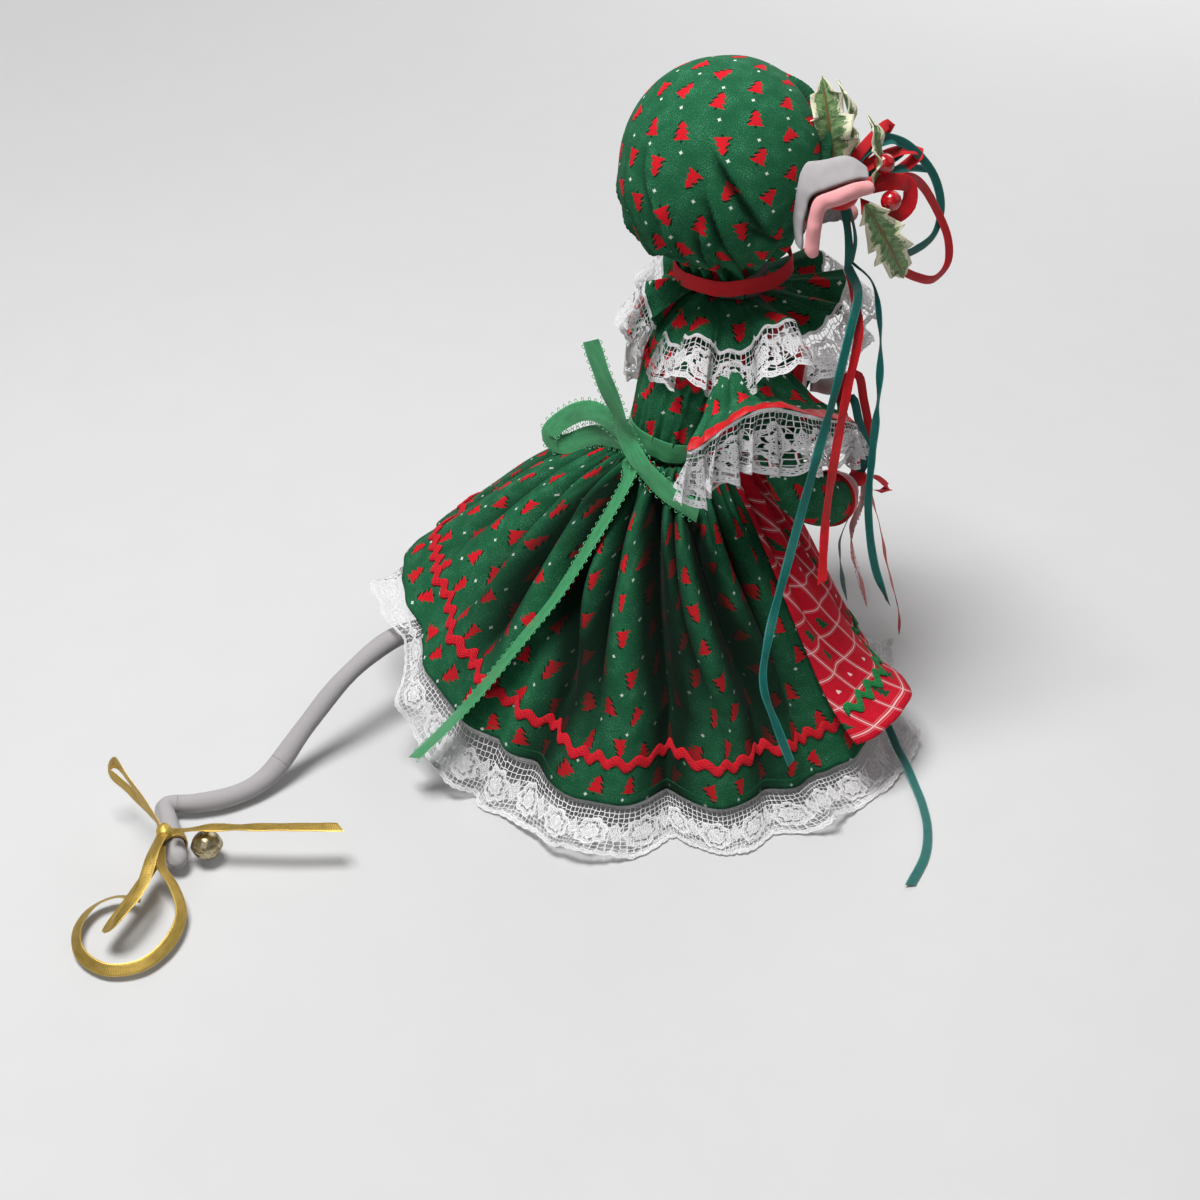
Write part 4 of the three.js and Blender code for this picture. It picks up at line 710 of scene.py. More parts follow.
def printed_cotton(name, girth=1000.0, taper=0.0, hem=False):
    """Green cotton with the tree print, darkened towards near black by painted shade in its creases;
    girth and taper fit the print to a flared piece.
    """
    tints = colours()
    bench = Finish(name, sheen=0.015, gloss=0.15)
    around_it, rise = bench.flat_place()
    weave = bench.group("Woven threads", Place=bench.vector(around_it * (girth / 1000), rise))
    trees = bench.group(
        "Tree print", Around=around_it, Rise=rise, Girth=girth, Taper=taper,
        Height=sizes().tree_height / MM, Spacing=sizes().tree_spacing / MM)
    shade = weave["Shade"]
    ink = bench.mix(shade.step(0.35, 0.72), tints.cotton_dark[:], tints.cotton[:])
    ink = bench.mix(shade.step(0.6, 0.78, 0.0, 0.75), ink, PALE_FLECKS)
    ink = bench.mix(trees["Edges"], ink, tints.tree_shade[:])
    ink = bench.mix(trees["Trees"], ink, mottled(bench, shade.step(0.3, 0.7), tints.tree, 0.72))
    ink = bench.mix(trees["Specks"], ink, tints.speck[:])
    # Painted shade: the cotton goes towards near black as the point's crease shade grows
    crease = bench.signals("ShaderNodeAttribute", {"attribute_name": "CreaseShade"})["Fac"]
    ink = bench.mix(crease * 0.93, ink, CREASE_SHADE_COLOUR)
    height = weave["Height"]
    if hem:
        seam = rise.line(3.3, 0.22)
        dashes = (around_it * 3.9).sine().step(-0.5, 0.2)
        ink = bench.mix(seam * 0.55, ink, tints.cotton_dark[:])
        ink = bench.mix(seam * dashes * 0.5, ink, tints.cotton[:])
        height = height - seam * 0.9
    return bench.done(ink, shade * -0.12 + 0.96, height, 0.5, 0.22)


def lace_finish(name, width):
    """White lace whose holes are cut by its own threads."""
    bench = Finish(name, sheen=0.1)
    along, down = bench.flat_place()
    lace = bench.group("Lace threads", Along=along, Down=down, Width=width)
    mottle = bench.noise(bench.vector(along, down), 0.5)
    ink = mottled(bench, mottle.step(0.3, 0.7), colours().lace, 0.86)
    bench.feed(bench.inputs["Alpha"], lace["Threads"])
    return bench.done(ink, mottle * 0.15 + 0.7, lace["Height"], 0.7, 0.35)


def ribbon_finish(
        name, tint, width, rib=0.5, edge_lift=0.25, edge_colour=None, roughness=0.42, metal=0.0,
        depth=0.12):
    """Satin or gold ribbon with fine cross ribs and stitched edges."""
    bench = Finish(name, sheen=0.0 if metal else 0.02, metal=metal, gloss=0.35)
    across, along = bench.flat_place()
    weave = bench.group("Ribbon weave", Across=across, Along=along, Width=width, Rib=rib)
    shade = weave["Shade"]
    light = edge_colour or [min(c * (1.15 + edge_lift) + 0.01, 1) for c in tint[:3]] + [1]
    ink = bench.mix(weave["Edge"] * 0.6, mottled(bench, shade.step(0.25, 0.75), tint, 0.62), light)
    return bench.done(ink, shade * 0.2 + (roughness - 0.1), weave["Height"], 0.5, depth)


def felt_finish(name, tint, dark=0.45):
    """Fuzzy wool felt."""
    bench = Finish(name, sheen=0.2)
    felt = bench.group("Felt fibres", Place=bench.solid_place())
    ink = mottled(bench, felt["Shade"].step(0.39, 0.64), tint, dark)
    return bench.done(ink, felt["Shade"] * -0.1 + 1.0, felt["Height"], 1.0, 1.0)


def braid_finish(name, tint):
    """Wavy braid with ribs along its length; painted shade darkens the grooves between the ribs, and fuzz
    darkens it at random.
    """
    bench = Finish(name, sheen=0.03, gloss=0.2)
    across, along = bench.flat_place()
    ribs = (across * (math.tau / 0.62)).sine()
    slant = (along * 5.2 + across * 4.0).sine()
    fuzz = bench.noise(bench.vector(across, along), 1.5)
    height = ribs * 0.3 + 0.5 + slant * 0.15
    # Painted shade: the colour follows the relief, darker where the ribs sink, with random spots from the
    # fuzz
    ink = mottled(bench, (height + fuzz * 0.3).step(0.3, 0.75), tint, 0.45)
    return bench.done(ink, fuzz * 0.2 + 0.65, height, 0.8, 0.3)


def board_finish(name, tint, stretch, contrast):
    """Wood or fibreboard, with its grain drawn out along one direction."""
    bench = Finish(name)
    drawn = bench.node(
        "ShaderNodeVectorMath", {"operation": "MULTIPLY"}, Vector=bench.solid_place())
    drawn.inputs[1].default_value = stretch
    grain = bench.noise(Signal(bench, drawn.outputs[0]), 0.8, 5.0, 0.65)
    ink = mottled(bench, grain.step(0.3, 0.7), tint, 1 - contrast)
    return bench.done(ink, grain * -0.15 + 0.85, grain, 0.4, 0.2)


def apron_finish(name):
    """Red check of thin paired pale lines, with small hearts and trees in some of its panes."""
    tints = colours()
    bench = Finish(name, sheen=0.015, gloss=0.15)
    across, down = bench.flat_place()
    pane = sizes().check_spacing / MM
    weave = bench.group("Woven threads", Place=bench.vector(across, down))
    x, y = across % pane - pane / 2, down % pane - pane / 2
    thick_lines = [abs(value).line(pane / 2 - 0.1, 0.14, 0.1) * 0.8 for value in (x, y)]
    thin_lines = [abs(value).line(pane / 2 - 0.7, 0.08, 0.1) * 0.35 for value in (x, y)]
    check = thick_lines[0] | thin_lines[0] | thick_lines[1] | thin_lines[1]
    luck = bench.chance(bench.vector((across / pane).floor(), (down / pane).floor()))[0]
    low = y - abs(x) * 0.9
    heart = (x * x + low * low).root().fall(0.6, 0.85) * (luck > 0.66)
    fall = (y + 2.6) * (1 / 5.2)
    half = fall * 1.2 + (fall * TIERS).fract() * 1.1
    inside = fall.step(0.0, 0.05) * fall.fall(0.95, 1.0)
    tree = (half - abs(x)).step(-0.1, 0.1) * inside * (luck < 0.4)
    ink = mottled(bench, weave["Shade"].step(0.35, 0.72), tints.apron, 0.6)
    ink = bench.mix(check * 0.8, ink, tints.apron_line[:])
    ink = bench.mix(heart * 0.85, ink, tints.apron_line[:])
    ink = bench.mix(tree, ink, tints.cotton_dark[:])
    return bench.done(ink, weave["Shade"] * -0.12 + 0.95, weave["Height"], 0.5, 0.22)


# Skirt surface, shared by every layer that lies on it or under it

SKIRT_TOP = 97
WAIST_RADIUS = 19.5
WAIST_Y = -12
HEM_RADIUS = 93
HEM_Y = -7
HEM_HEIGHT = 10
LIFTED_HEM_RADIUS = 92
LIFTED_HEM_HEIGHT = 45
LIFT_AZIMUTH = -30
VALLEY_AZIMUTH = 28
TAIL_AZIMUTH = -13
BRAID_CROWN = 0.75
MIDDLE_FALL, HEM_FALL = 0.55, 0.95


def skirt_profile(azimuth, fall):
    """Radius and height of the unfolded skirt, at a fall of 0 at the waist and 1 at the hem."""
    lift = bump(turn_between(azimuth, LIFT_AZIMUTH), 0, 50)
    front = max(-math.cos(math.radians(azimuth)), 0) ** 2
    low_radius = WAIST_RADIUS + (HEM_RADIUS - 30 * front - WAIST_RADIUS) * fall ** 0.9
    high_radius = WAIST_RADIUS + (LIFTED_HEM_RADIUS - WAIST_RADIUS) * fall ** 0.95
    low_height = SKIRT_TOP - (SKIRT_TOP - HEM_HEIGHT) * fall
    high_height = SKIRT_TOP - (SKIRT_TOP - LIFTED_HEM_HEIGHT) * fall ** 1.15
    return lerp(low_radius, high_radius, lift), lerp(low_height, high_height, lift)


# Each crease has its azimuth at the waist and low down, its depth, its width and how much of it
# is left at the hem.
SKIRT_CREASES = (
    (1, 12, 13, 3.6, 0.3), (15, 35, 14, 3.8, 0.9), (28, 48, 9, 2.8, 0.2), (45, 66, 16, 4.2, 0.9),
    (58, 77, 6, 2.4, 0.2), (70, 87, 14, 3.6, 0.8), (88, 97, 9, 3.2, 0.4), (-12, -1, 5, 2.8, 0.1),
    (-28, -20, 5, 3.0, 0.1), (-47, -42, 8, 3.4, 0.6), (-62, -66, 10, 3.8, 1.0), (-84, -80, 7, 3.0, 0.3),
    (-98, -104, 10, 3.6, 1.0), (112, 115, 5, 3.0, 0.3), (131, 138, 4, 3.4, 0.3), (160, 158, 4, 3.0, 0.3),
    (186, 190, 5, 3.6, 0.3), (212, 208, 4, 3.2, 0.3), (236, 241, 5, 3.4, 0.5),
)


def skirt_fold(azimuth, fall):
    """How far the cloth stands out at a place, how far it leans round, in degrees, and how much painted
    shade it has in its creases.
    """
    drift = 2.2 * wave(2 * azimuth + 25) + 1.4 * wave(5 * azimuth - 60) * fall
    phase = math.radians((azimuth + drift - VALLEY_AZIMUTH) * sizes().skirt_folds / 2)
    crest = 2 * abs(math.sin(phase)) ** 0.8 - 1
    depth = lerp(1.0, sizes().fold_depth / MM, fall ** 1.5)
    uneven = 1 + 0.25 * wave(3 * azimuth + 10)
    middle = bump(fall, 0.42, 0.26)
    small = wave(23 * azimuth + 50 * wave(2 * azimuth) + 70 * fall)
    small *= 0.55 + 0.45 * wave(4 * azimuth + 10)
    tiny = wave(41 * azimuth + 90 * wave(3 * azimuth + 20) - 40 * fall)
    gathers = wave(47 * azimuth + 60 * wave(5 * azimuth)) * bump(fall, 0.06, 0.16)
    out = depth * uneven * crest + 1.5 * middle
    out += 1.5 * small * (0.25 + 0.75 * middle) + 0.3 * tiny * fall + 1.4 * gathers
    lean = 0.0
    # Painted shade in the valleys of the small folds and the gathers
    crease = 0.45 * max(-small, 0) * (0.2 + 0.8 * middle) + 0.5 * max(-gathers, 0)
    for high, low, deep, width, held in SKIRT_CREASES:
        centre = lerp(high, low, min(fall / 0.75, 1)) + 1.2 * wave(300 * fall + 40 * high)
        spread = width * lerp(0.9, 1.5, fall)
        away = turn_between(azimuth, centre) / spread
        if abs(away) < 3:
            lasting = lerp(1, 0.6 * held, smoothstep(fall, 0.5, 0.97))
            dip = math.exp(-away * away) * smoothstep(fall, 0.0, 0.14) * lasting
            ridge = 0.35 * bump(abs(away), 1.6, 1) * smoothstep(fall, 0, 0.2) * (1 - fall)
            out += deep * (ridge - dip)
            lean -= (0.85 + 0.35 * wave(70 * high)) * spread * away * dip
            shadow = bump(away, 0, 1.3)
            # Painted shade along the valley of each deep crease
            crease += deep / 8 * shadow * smoothstep(fall, 0.0, 0.14) * lasting
    return out, lean, crease


def skirt_point(azimuth, fall, offset, folded=1.0):
    """A point on the folded skirt, moved out along its profile's normal."""
    here = skirt_profile(azimuth, fall)
    below = skirt_profile(azimuth, fall + 0.01)
    above = skirt_profile(azimuth, max(fall - 0.01, 0))
    run = Vector((below[0] - above[0], below[1] - above[1])).normalized()
    out, lean, _ = skirt_fold(azimuth, fall)
    radius = here[0] + out * folded - run.y * offset
    height = here[1] + run.x * offset
    return around(azimuth + lean * folded, radius, height, lerp(WAIST_Y, HEM_Y, fall))


def skirt_length(azimuth):
    """The cloth's length from waist to hem."""
    places = [Vector(skirt_profile(azimuth, step / 20)) for step in range(21)]
    return sum((there - here).length for here, there in zip(places, places[1:]))


def braid(cut, azimuths, fall_at, offset, waves, width, swing, place):
    """Wavy braid laid on a surface, which place finds from an azimuth, a fall and an offset."""
    shares = (-0.5, -0.42, -0.2, 0.2, 0.42, 0.5)
    first, last = azimuths
    turns = waves * 12
    rings = []
    for step in range(turns + 1):
        azimuth = lerp(first, last, step / turns)
        angle = math.tau * waves * step / turns
        slope = math.cos(angle)
        stretch = 1 / math.sqrt(1 + 0.25 * slope * slope)
        middle = swing * math.sin(angle)
        top = []
        bottom = []
        for share in shares:
            rise = middle + share * width / stretch
            crown = offset + BRAID_CROWN * (1 - 0.6 * (2 * share) ** 4)
            top.append(place(azimuth, fall_at(azimuth, rise), crown))
            bottom.append(place(azimuth, fall_at(azimuth, rise), offset))
        rings.append(top + bottom[::-1])
    pitch = sizes().braid_pitch / MM * 1.2
    spread = [share * width for share in (*shares, *reversed(shares))]
    cut.tube(rings, lambda side, span: (spread[side % 12], pitch * waves * span / turns))


# Free ribbons, with the routes of the solids they stand for

RIBBON_ROUTES = {
    "red_loop": [
        (-31.1, -57.7, 192.3), (-33.5, -65, 193.5), (-31, -74, 194), (-28, -82, 189), (-27, -90, 178),
        (-28, -95, 167), (-29, -95, 159), (-31, -89, 155.5), (-33, -80, 159), (-34.5, -71, 165)],
    "teal_loop": [
        (-22.5, -59.6, 191.9), (-22, -63, 199), (-22.5, -68, 204.5), (-22, -77, 202), (-22, -85, 195.5),
        (-23, -91, 187), (-25, -93, 177), (-28, -89, 170), (-32, -79, 168), (-35, -68, 168.5)],
    "teal_streamer_right": [
        (-34.6, -52.8, 168.5), (-41, -53, 163), (-48, -47, 155), (-55, -38, 135), (-58, -31, 114),
        (-62.5, -21, 84), (-74, -8, 63), (-84, -1, 52), (-92, -3, 38), (-98, -5, 28)],
    "red_streamer": [
        (-33, -53.7, 167.3), (-38, -53, 161.5), (-46.5, -51, 153), (-54.5, -43, 134), (-57, -39, 114),
        (-59, -36, 91), (-66, -32, 72)],
    "teal_streamer_front": [
        (-32.3, -55.6, 168.7), (-38, -60, 163.5), (-44.5, -60, 152), (-52, -57, 132), (-54.5, -55, 112),
        (-56, -54.5, 88), (-61, -56, 68), (-66, -59, 56)],
    "hand_red_ribbon": [
        (-22.2, -75.2, 75.4), (-17, -77, 62), (-14, -76, 48), (-14, -80, 32), (-14, -85, 18)],
    "hand_teal_ribbon": [
        (-23, -71, 74.4), (-21, -70, 63), (-19, -68.5, 50), (-18, -70.5, 36), (-18, -73.5, 26)],
    "hand_red_streamer": [
        (-25.4, -73.8, 77), (-26, -79.5, 60), (-24, -86.5, 38), (-23, -93.8, 16), (-22, -96.5, 4)],
    "floor_ribbon": [
        (-75, -58, 9.2), (-79, -57.8, 7), (-83, -57.3, 5.4), (-89.5, -56.8, 3.5), (-98, -55, 1.8),
        (-108, -52, 1.2), (-119, -47, 1), (-130, -39, 1), (-140, -27, 1)],
    "sash_tail": [
        (-4.5, 9.9, 98.1), (-11, 12.4, 95.4), (-16.2, 21.5, 87), (-19.7, 30.6, 78.3), (-24.4, 45.4, 64),
        (-26.7, 60.2, 50.8), (-29, 76.6, 36.2), (-28.8, 91, 23.5), (-28, 101, 15)],
    "gold_ribbon_end": [
        (-28.2, 184.8, 13), (-29.8, 180.5, 13.8), (-32, 175, 14.4), (-38, 163, 15), (-45, 149, 15.5),
        (-51, 135, 15)],
    "gold_curl": [
        (-28.5, 189.5, 9.6), (-37, 191.5, 8.6), (-47, 190, 7), (-58, 191, 5.2), (-68, 198, 4.2),
        (-73, 208, 3.6), (-70, 218, 3.4), (-60, 223.5, 3.4), (-49, 222, 3.6), (-41.5, 215, 4),
        (-41, 207, 4.6), (-46.5, 201, 5)],
}


class DOLL_OT_ribbons(bpy.types.Operator):
    """Lay the free ribbons at the head, the hand, the waist and the tail"""

    bl_idname = "doll.ribbons"
    bl_label = "Free Ribbons"

    def execute(self, context):
        tints = colours()
        red = ribbon_finish("red_satin", tints.red_satin, 3.0)
        teal = ribbon_finish("teal_satin", tints.teal_satin, 3.0, edge_colour=[0.05, 0.3, 0.27, 1])
        red_picot = ribbon_finish("red_picot_satin", tints.red_satin, 7.0)
        teal_wide = ribbon_finish("wide_teal_satin", tints.teal_satin, 6.0)
        green = ribbon_finish("green_picot_satin", tints.green_satin, 7.0, roughness=0.36)
        gold = ribbon_finish(
            "gold_weave", tints.gold, 4.0, rib=0.7, edge_lift=0.5, roughness=0.42, metal=0.75, depth=0.25)
        pale = ribbon_finish("pale_thread", [0.8, 0.62, 0.6, 1], 7.0)
        side_on, outward, edge_on = (-1, -0.15, 0.1), (-1, 0.25, 0.35), (0.3, -0.9, 0.3)
        forward = (-0.5, -0.85, 0.1)
        down_skirt = (
            (0.2, 0.7, 0.6), (0.2, 0.65, 0.65), (0.25, 0.65, 0.65), (0.25, 0.65, 0.65), (0.3, 0.7, 0.6))
        round_curl = (
            (0, -0.5, 1), (0, -0.6, 1), (-0.7, -0.6, 1), (-0.9, 0.2, 1), (-0.4, 0.9, 1),
            (0.5, 0.7, 1), (0.8, -0.2, 1), (0.2, -0.6, 1))
        plans = {
            "red_loop": (red, 3, side_on, "head_body", "red_satin", None, 0.5),
            "teal_loop": (teal, 3, side_on, "head_body", "teal_satin", None, 0.5),
            "teal_streamer_right": (teal, 3, outward, "head_body", "teal_satin", None, 0.9),
            "red_streamer": (red, 3, outward, "head_body", "red_satin", None, 0.9),
            "teal_streamer_front": (teal, 3, edge_on, "head_body", "teal_satin", None, 0.9),
            "hand_red_ribbon": (red_picot, 7, forward, "right_arm", "red_satin", pale, 0.5),
            "hand_teal_ribbon": (teal_wide, 6, forward, "right_arm", "teal_satin", None, 0.5),
            "hand_red_streamer": (red, 3, forward, "right_arm", "red_satin", None, 0.6),
            "floor_ribbon": (teal, 3, (-0.2, 0, 1), "doll", "teal_satin", None, 0.0),
            "sash_tail": (green, 7, down_skirt, "doll", "green_picot_ribbon", green, 0.0),
            "gold_ribbon_end": (gold, 4, (0.2, 0.2, 1), "tail_end_body", "gold_ribbon", None, 0.5),
            "gold_curl": (gold, 4, round_curl, "tail_end_body", "gold_ribbon", None, 0.0),
        }
        blended = {
            "teal_streamer_right": ((-48, -47, 160), (-56, -36, 125)),
            "red_streamer": ((-46, -51, 158), (-56, -40, 120)),
            "teal_streamer_front": ((-44, -60, 158), (-54, -55, 115)),
        }
        for name, (finish, width, facing, body, slot, loops, ripple) in plans.items():
            route = RIBBON_ROUTES[name]
            cut = Cut()
            count = max(int(smooth_line(route, 60)[1] / 1.2), 30)
            line, length = cut.ribbon(route, facing, width, count, cut=0.6, ripple=ripple)
            if loops:
                cut.picots(route, facing, width, count, kind=1)
            piece = cut.make(name + "_satin", finish, *([loops] if loops else []))
            sharpen(piece, SATIN_ANGLE)
            if name in blended:
                start, end = [[v * MM for v in place] for place in blended[name]]
                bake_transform(piece)
                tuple(start)
                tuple(end)
                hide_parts(name)
            else:
                fit(piece, body, slot, name)
            lay = "loose" if name in ("floor_ribbon", "gold_curl", "sash_tail") else "hanging"
            length * MM
            width * MM
            [list(point * MM) for point in line]
        return {"FINISHED"}


class DOLL_OT_skirt(bpy.types.Operator):
    """Gather the printed skirt and sew on its red braid"""

    bl_idname = "doll.skirt"
    bl_label = "Skirt"

    def execute(self, context):
        columns, rows = 640, 72
        azimuth_at = lambda column: 360 * column / columns
        lengths = [skirt_length(azimuth_at(column)) for column in range(columns + 1)]

        def girths(fall):
            """How far round the cloth each column is, at a fall."""
            places = [skirt_point(azimuth_at(column), fall, 0) for column in range(columns + 1)]
            total = [0.0]
            for here, there in zip(places, places[1:]):
                total.append(total[-1] + (there - here).length)
            return total

        middle, hem = girths(MIDDLE_FALL), girths(HEM_FALL)
        mean_length = sum(lengths) / len(lengths)
        taper = (hem[-1] - middle[-1]) / ((HEM_FALL - MIDDLE_FALL) * mean_length)
        shares = [500 * (a / middle[-1] + b / hem[-1]) for a, b in zip(middle, hem)]
        # Each point of the skirt carries the painted shade of its creases
        cut = Cut()
        cut.grid(
            lambda column, row: skirt_point(azimuth_at(column), row / rows, 0),
            lambda column, row: (shares[column], lengths[column] * (1 - row / rows)),
            columns, rows, wraps=True,
            crease=lambda column, row: skirt_fold(azimuth_at(column), row / rows)[2])
        cotton = printed_cotton("skirt_cotton", girth=hem[-1], taper=taper, hem=True)
        skirt = cut.make("skirt_cloth", cotton)
        thicken(skirt, 0.7)
        fit(skirt, "doll", "cotton_print", "skirt")
        trim = Cut()
        waves = int(560 / (sizes().braid_pitch / MM))
        length_at = lambda azimuth: lengths[int(azimuth / 360 * columns) % columns]
        braid(
            trim, (0, 360), lambda azimuth, rise: 1 - (14.5 + rise) / length_at(azimuth),
            0.15, waves, 3.5, 1.1, skirt_point)
        red = trim.make("skirt_red_braid", braid_finish("red_braid", colours().red_braid))
        fit(red, "doll", "red_rickrack", "skirt_rickrack")
        return {"FINISHED"}


LACE_INSET = 2.4


def lace_edge(azimuth, share):
    """The petticoat's lace, from under the hem at 0 to its own edge at 1."""
    start = skirt_point(azimuth, 1, -LACE_INSET)
    from_tail = turn_between(azimuth, TAIL_AZIMUTH)
    held = 1 - bump(from_tail, 0, 16)
    room = start.z - 0.8
    drop = min(room, 16 * held)
    reach = (sizes().lace_depth / MM - 4) * (1 - 0.35 * smoothstep(room, 14, 34))
    turn = 9 * azimuth + 60 * wave(3 * azimuth) + 20 * wave(7 * azimuth + 20)
    small = wave(23 * azimuth + 50 * wave(5 * azimuth))
    flute = wave(turn)
    grown = share ** 1.2
    sway = wave(2 * turn + 20) * grown * held
    outward = around(azimuth + 6 * sway, 1, 0, 0)
    place = start + outward * (reach * share + (2.4 * flute + 1.2 * small) * grown)
    place += around(azimuth + 90, 1, 0, 0) * (2.2 * sway)
    lift = 5.5 * max(flute, 0) + 1.2 * min(flute, 0) + 1.3 * small
    place.z = start.z - drop * (1 - (1 - share) ** 1.5) + lift * grown * held
    place.z = max(place.z, 0.45 + 0.4 * share)
    return place


class DOLL_OT_petticoat(bpy.types.Operator):
    """Hang the petticoat with its wide lace under the skirt"""

    bl_idname = "doll.petticoat"
    bl_label = "Petticoat"

    def execute(self, context):
        columns, rows, hidden = 720, 18, 6
        depth = sizes().lace_depth / MM + 3

        def at(column, row):
            azimuth = 360 * column / columns
            if row < hidden:
                return skirt_point(azimuth, lerp(0.82, 1, row / hidden), -LACE_INSET)
            return lace_edge(azimuth, (row - hidden) / (rows - hidden))

        def flat(column, row):
            return (column / columns * 782, depth * (row - hidden) / (rows - hidden) + 0.01)

        cut = Cut()
        cut.grid(at, flat, columns, rows, wraps=True)
        lace = cut.make("petticoat_lace", lace_finish("petticoat_lace_threads", depth))
        fit(lace, "doll", "white_lace", "petticoat")
        return {"FINISHED"}


# Apron

APRON_CENTRE = 181
APRON_HALF_SPAN = 75


def apron_point(azimuth, fall, offset):
    """A point on the apron, which lies on the skirt and flares away from it at its lower corners."""
    corner = bump(abs(azimuth - APRON_CENTRE), 60, 20)
    return skirt_point(azimuth, fall, offset + 25 * corner * fall ** 7, 0.9)


class DOLL_OT_apron(bpy.types.Operator):
    """Tie the checked apron over the skirt's front, with its green braid"""

    bl_idname = "doll.apron"
    bl_label = "Apron"

    def execute(self, context):
        columns, rows = 230, 64
        first = APRON_CENTRE - APRON_HALF_SPAN
        last = APRON_CENTRE + APRON_HALF_SPAN
        azimuth_at = lambda column: lerp(first, last, column / columns)
        cut = Cut()
        cut.grid(
            lambda column, row: apron_point(azimuth_at(column), lerp(0.05, 0.94, row / rows), 2.4),
            lambda column, row: (
                230 * (column / columns - 0.5) * lerp(0.55, 1, row / rows), 98 * row / rows),
            columns, rows)
        apron = cut.make("apron_cloth", apron_finish("apron_check"))
        thicken(apron, 0.6)
        fit(apron, "doll", "apron_check", "apron")
        trim = Cut()
        braid(
            trim, (first + 2, last - 2), lambda azimuth, rise: 0.84 - rise / 105, 2.5, 30, 3.1, 1.4,
            apron_point)
        green = trim.make("apron_green_braid", braid_finish("green_braid", colours().green_braid))
        fit(green, "doll", "green_rickrack", "apron_rickrack")
        return {"FINISHED"}


# Bodice, sash and collar

NECK_Y = -30
SHOULDER = Vector((0, -22, 137))
# Height, half width, half depth and the middle's place on Y
BODICE_STATIONS = (
    (98.05, 18, 17, -12), (115.6, 21.5, 19, -17), (137, 21.5, 17, -22), (148, 17, 14.5, -28),
    (151, 14, 14, -30))


def bodice_point(azimuth, height, offset):
    """A point on the fitted bodice."""
    low, high, share = station_at(BODICE_STATIONS, height)
    width, depth, centre = (lerp(low[index], high[index], share) for index in (1, 2, 3))
    angle = math.radians(azimuth)
    x, y = -math.sin(angle) * (width + offset), centre + math.cos(angle) * (depth + offset)
    return Vector((x, y, height))


def bodice_gathers(azimuth, height):
    """Shirring that starts at the sash and at the yoke."""
    low = bump(height, 104, 9)
    high = bump(height, 124, 6)
    tucks = wave(31 * azimuth + 40 * wave(3 * azimuth)) + 0.5 * wave(47 * azimuth + 3 * height)
    return 0.55 * tucks * (low + high) + 0.25 * wave(13 * azimuth + 5 * height)


COLLAR_NECK = 13
COLLAR_RIM = 33


def collar_point(azimuth, radius, offset):
    """A point on the ruffled collar: cloth from the neck out to its rim, then hanging lace."""
    cosine = math.cos(math.radians(azimuth))
    back = max(cosine, 0) ** 2
    front = max(-cosine, 0) ** 2
    share = min((radius - COLLAR_NECK) / (COLLAR_RIM - COLLAR_NECK), 1)
    hung = max(radius - COLLAR_RIM, 0) / 17
    stood = bump(abs(turn_between(azimuth, 0)), 88, 15)
    turn = 9 * azimuth + 40 * wave(2 * azimuth + 30)
    crest = (math.cos(math.radians(turn)) + 1) / 2
    small = 0.5 * wave(37 * azimuth + 4 * radius) + 0.4 * wave(53 * azimuth)
    height = 152.9 - (6 + 7 * back - 2 * front) * share ** 1.3 + offset
    height += (7 * crest - 2.5 + small) * share ** 1.2
    height += 4 * stood * share - (13.5 - 2 * front) * hung ** 0.9 + 1.5 * crest * hung
    sway = wave(2 * turn) * (2.6 * share + 2.8 * hung)
    reach = COLLAR_NECK + (20.5 - 4.5 * back + 2.4 * crest) * share
    reach += (11 + 3 * crest - 3 * back) * hung
    reach -= 2.5 * hung * hung
    return around(azimuth + sway, reach, height, lerp(NECK_Y, -33.5, share))


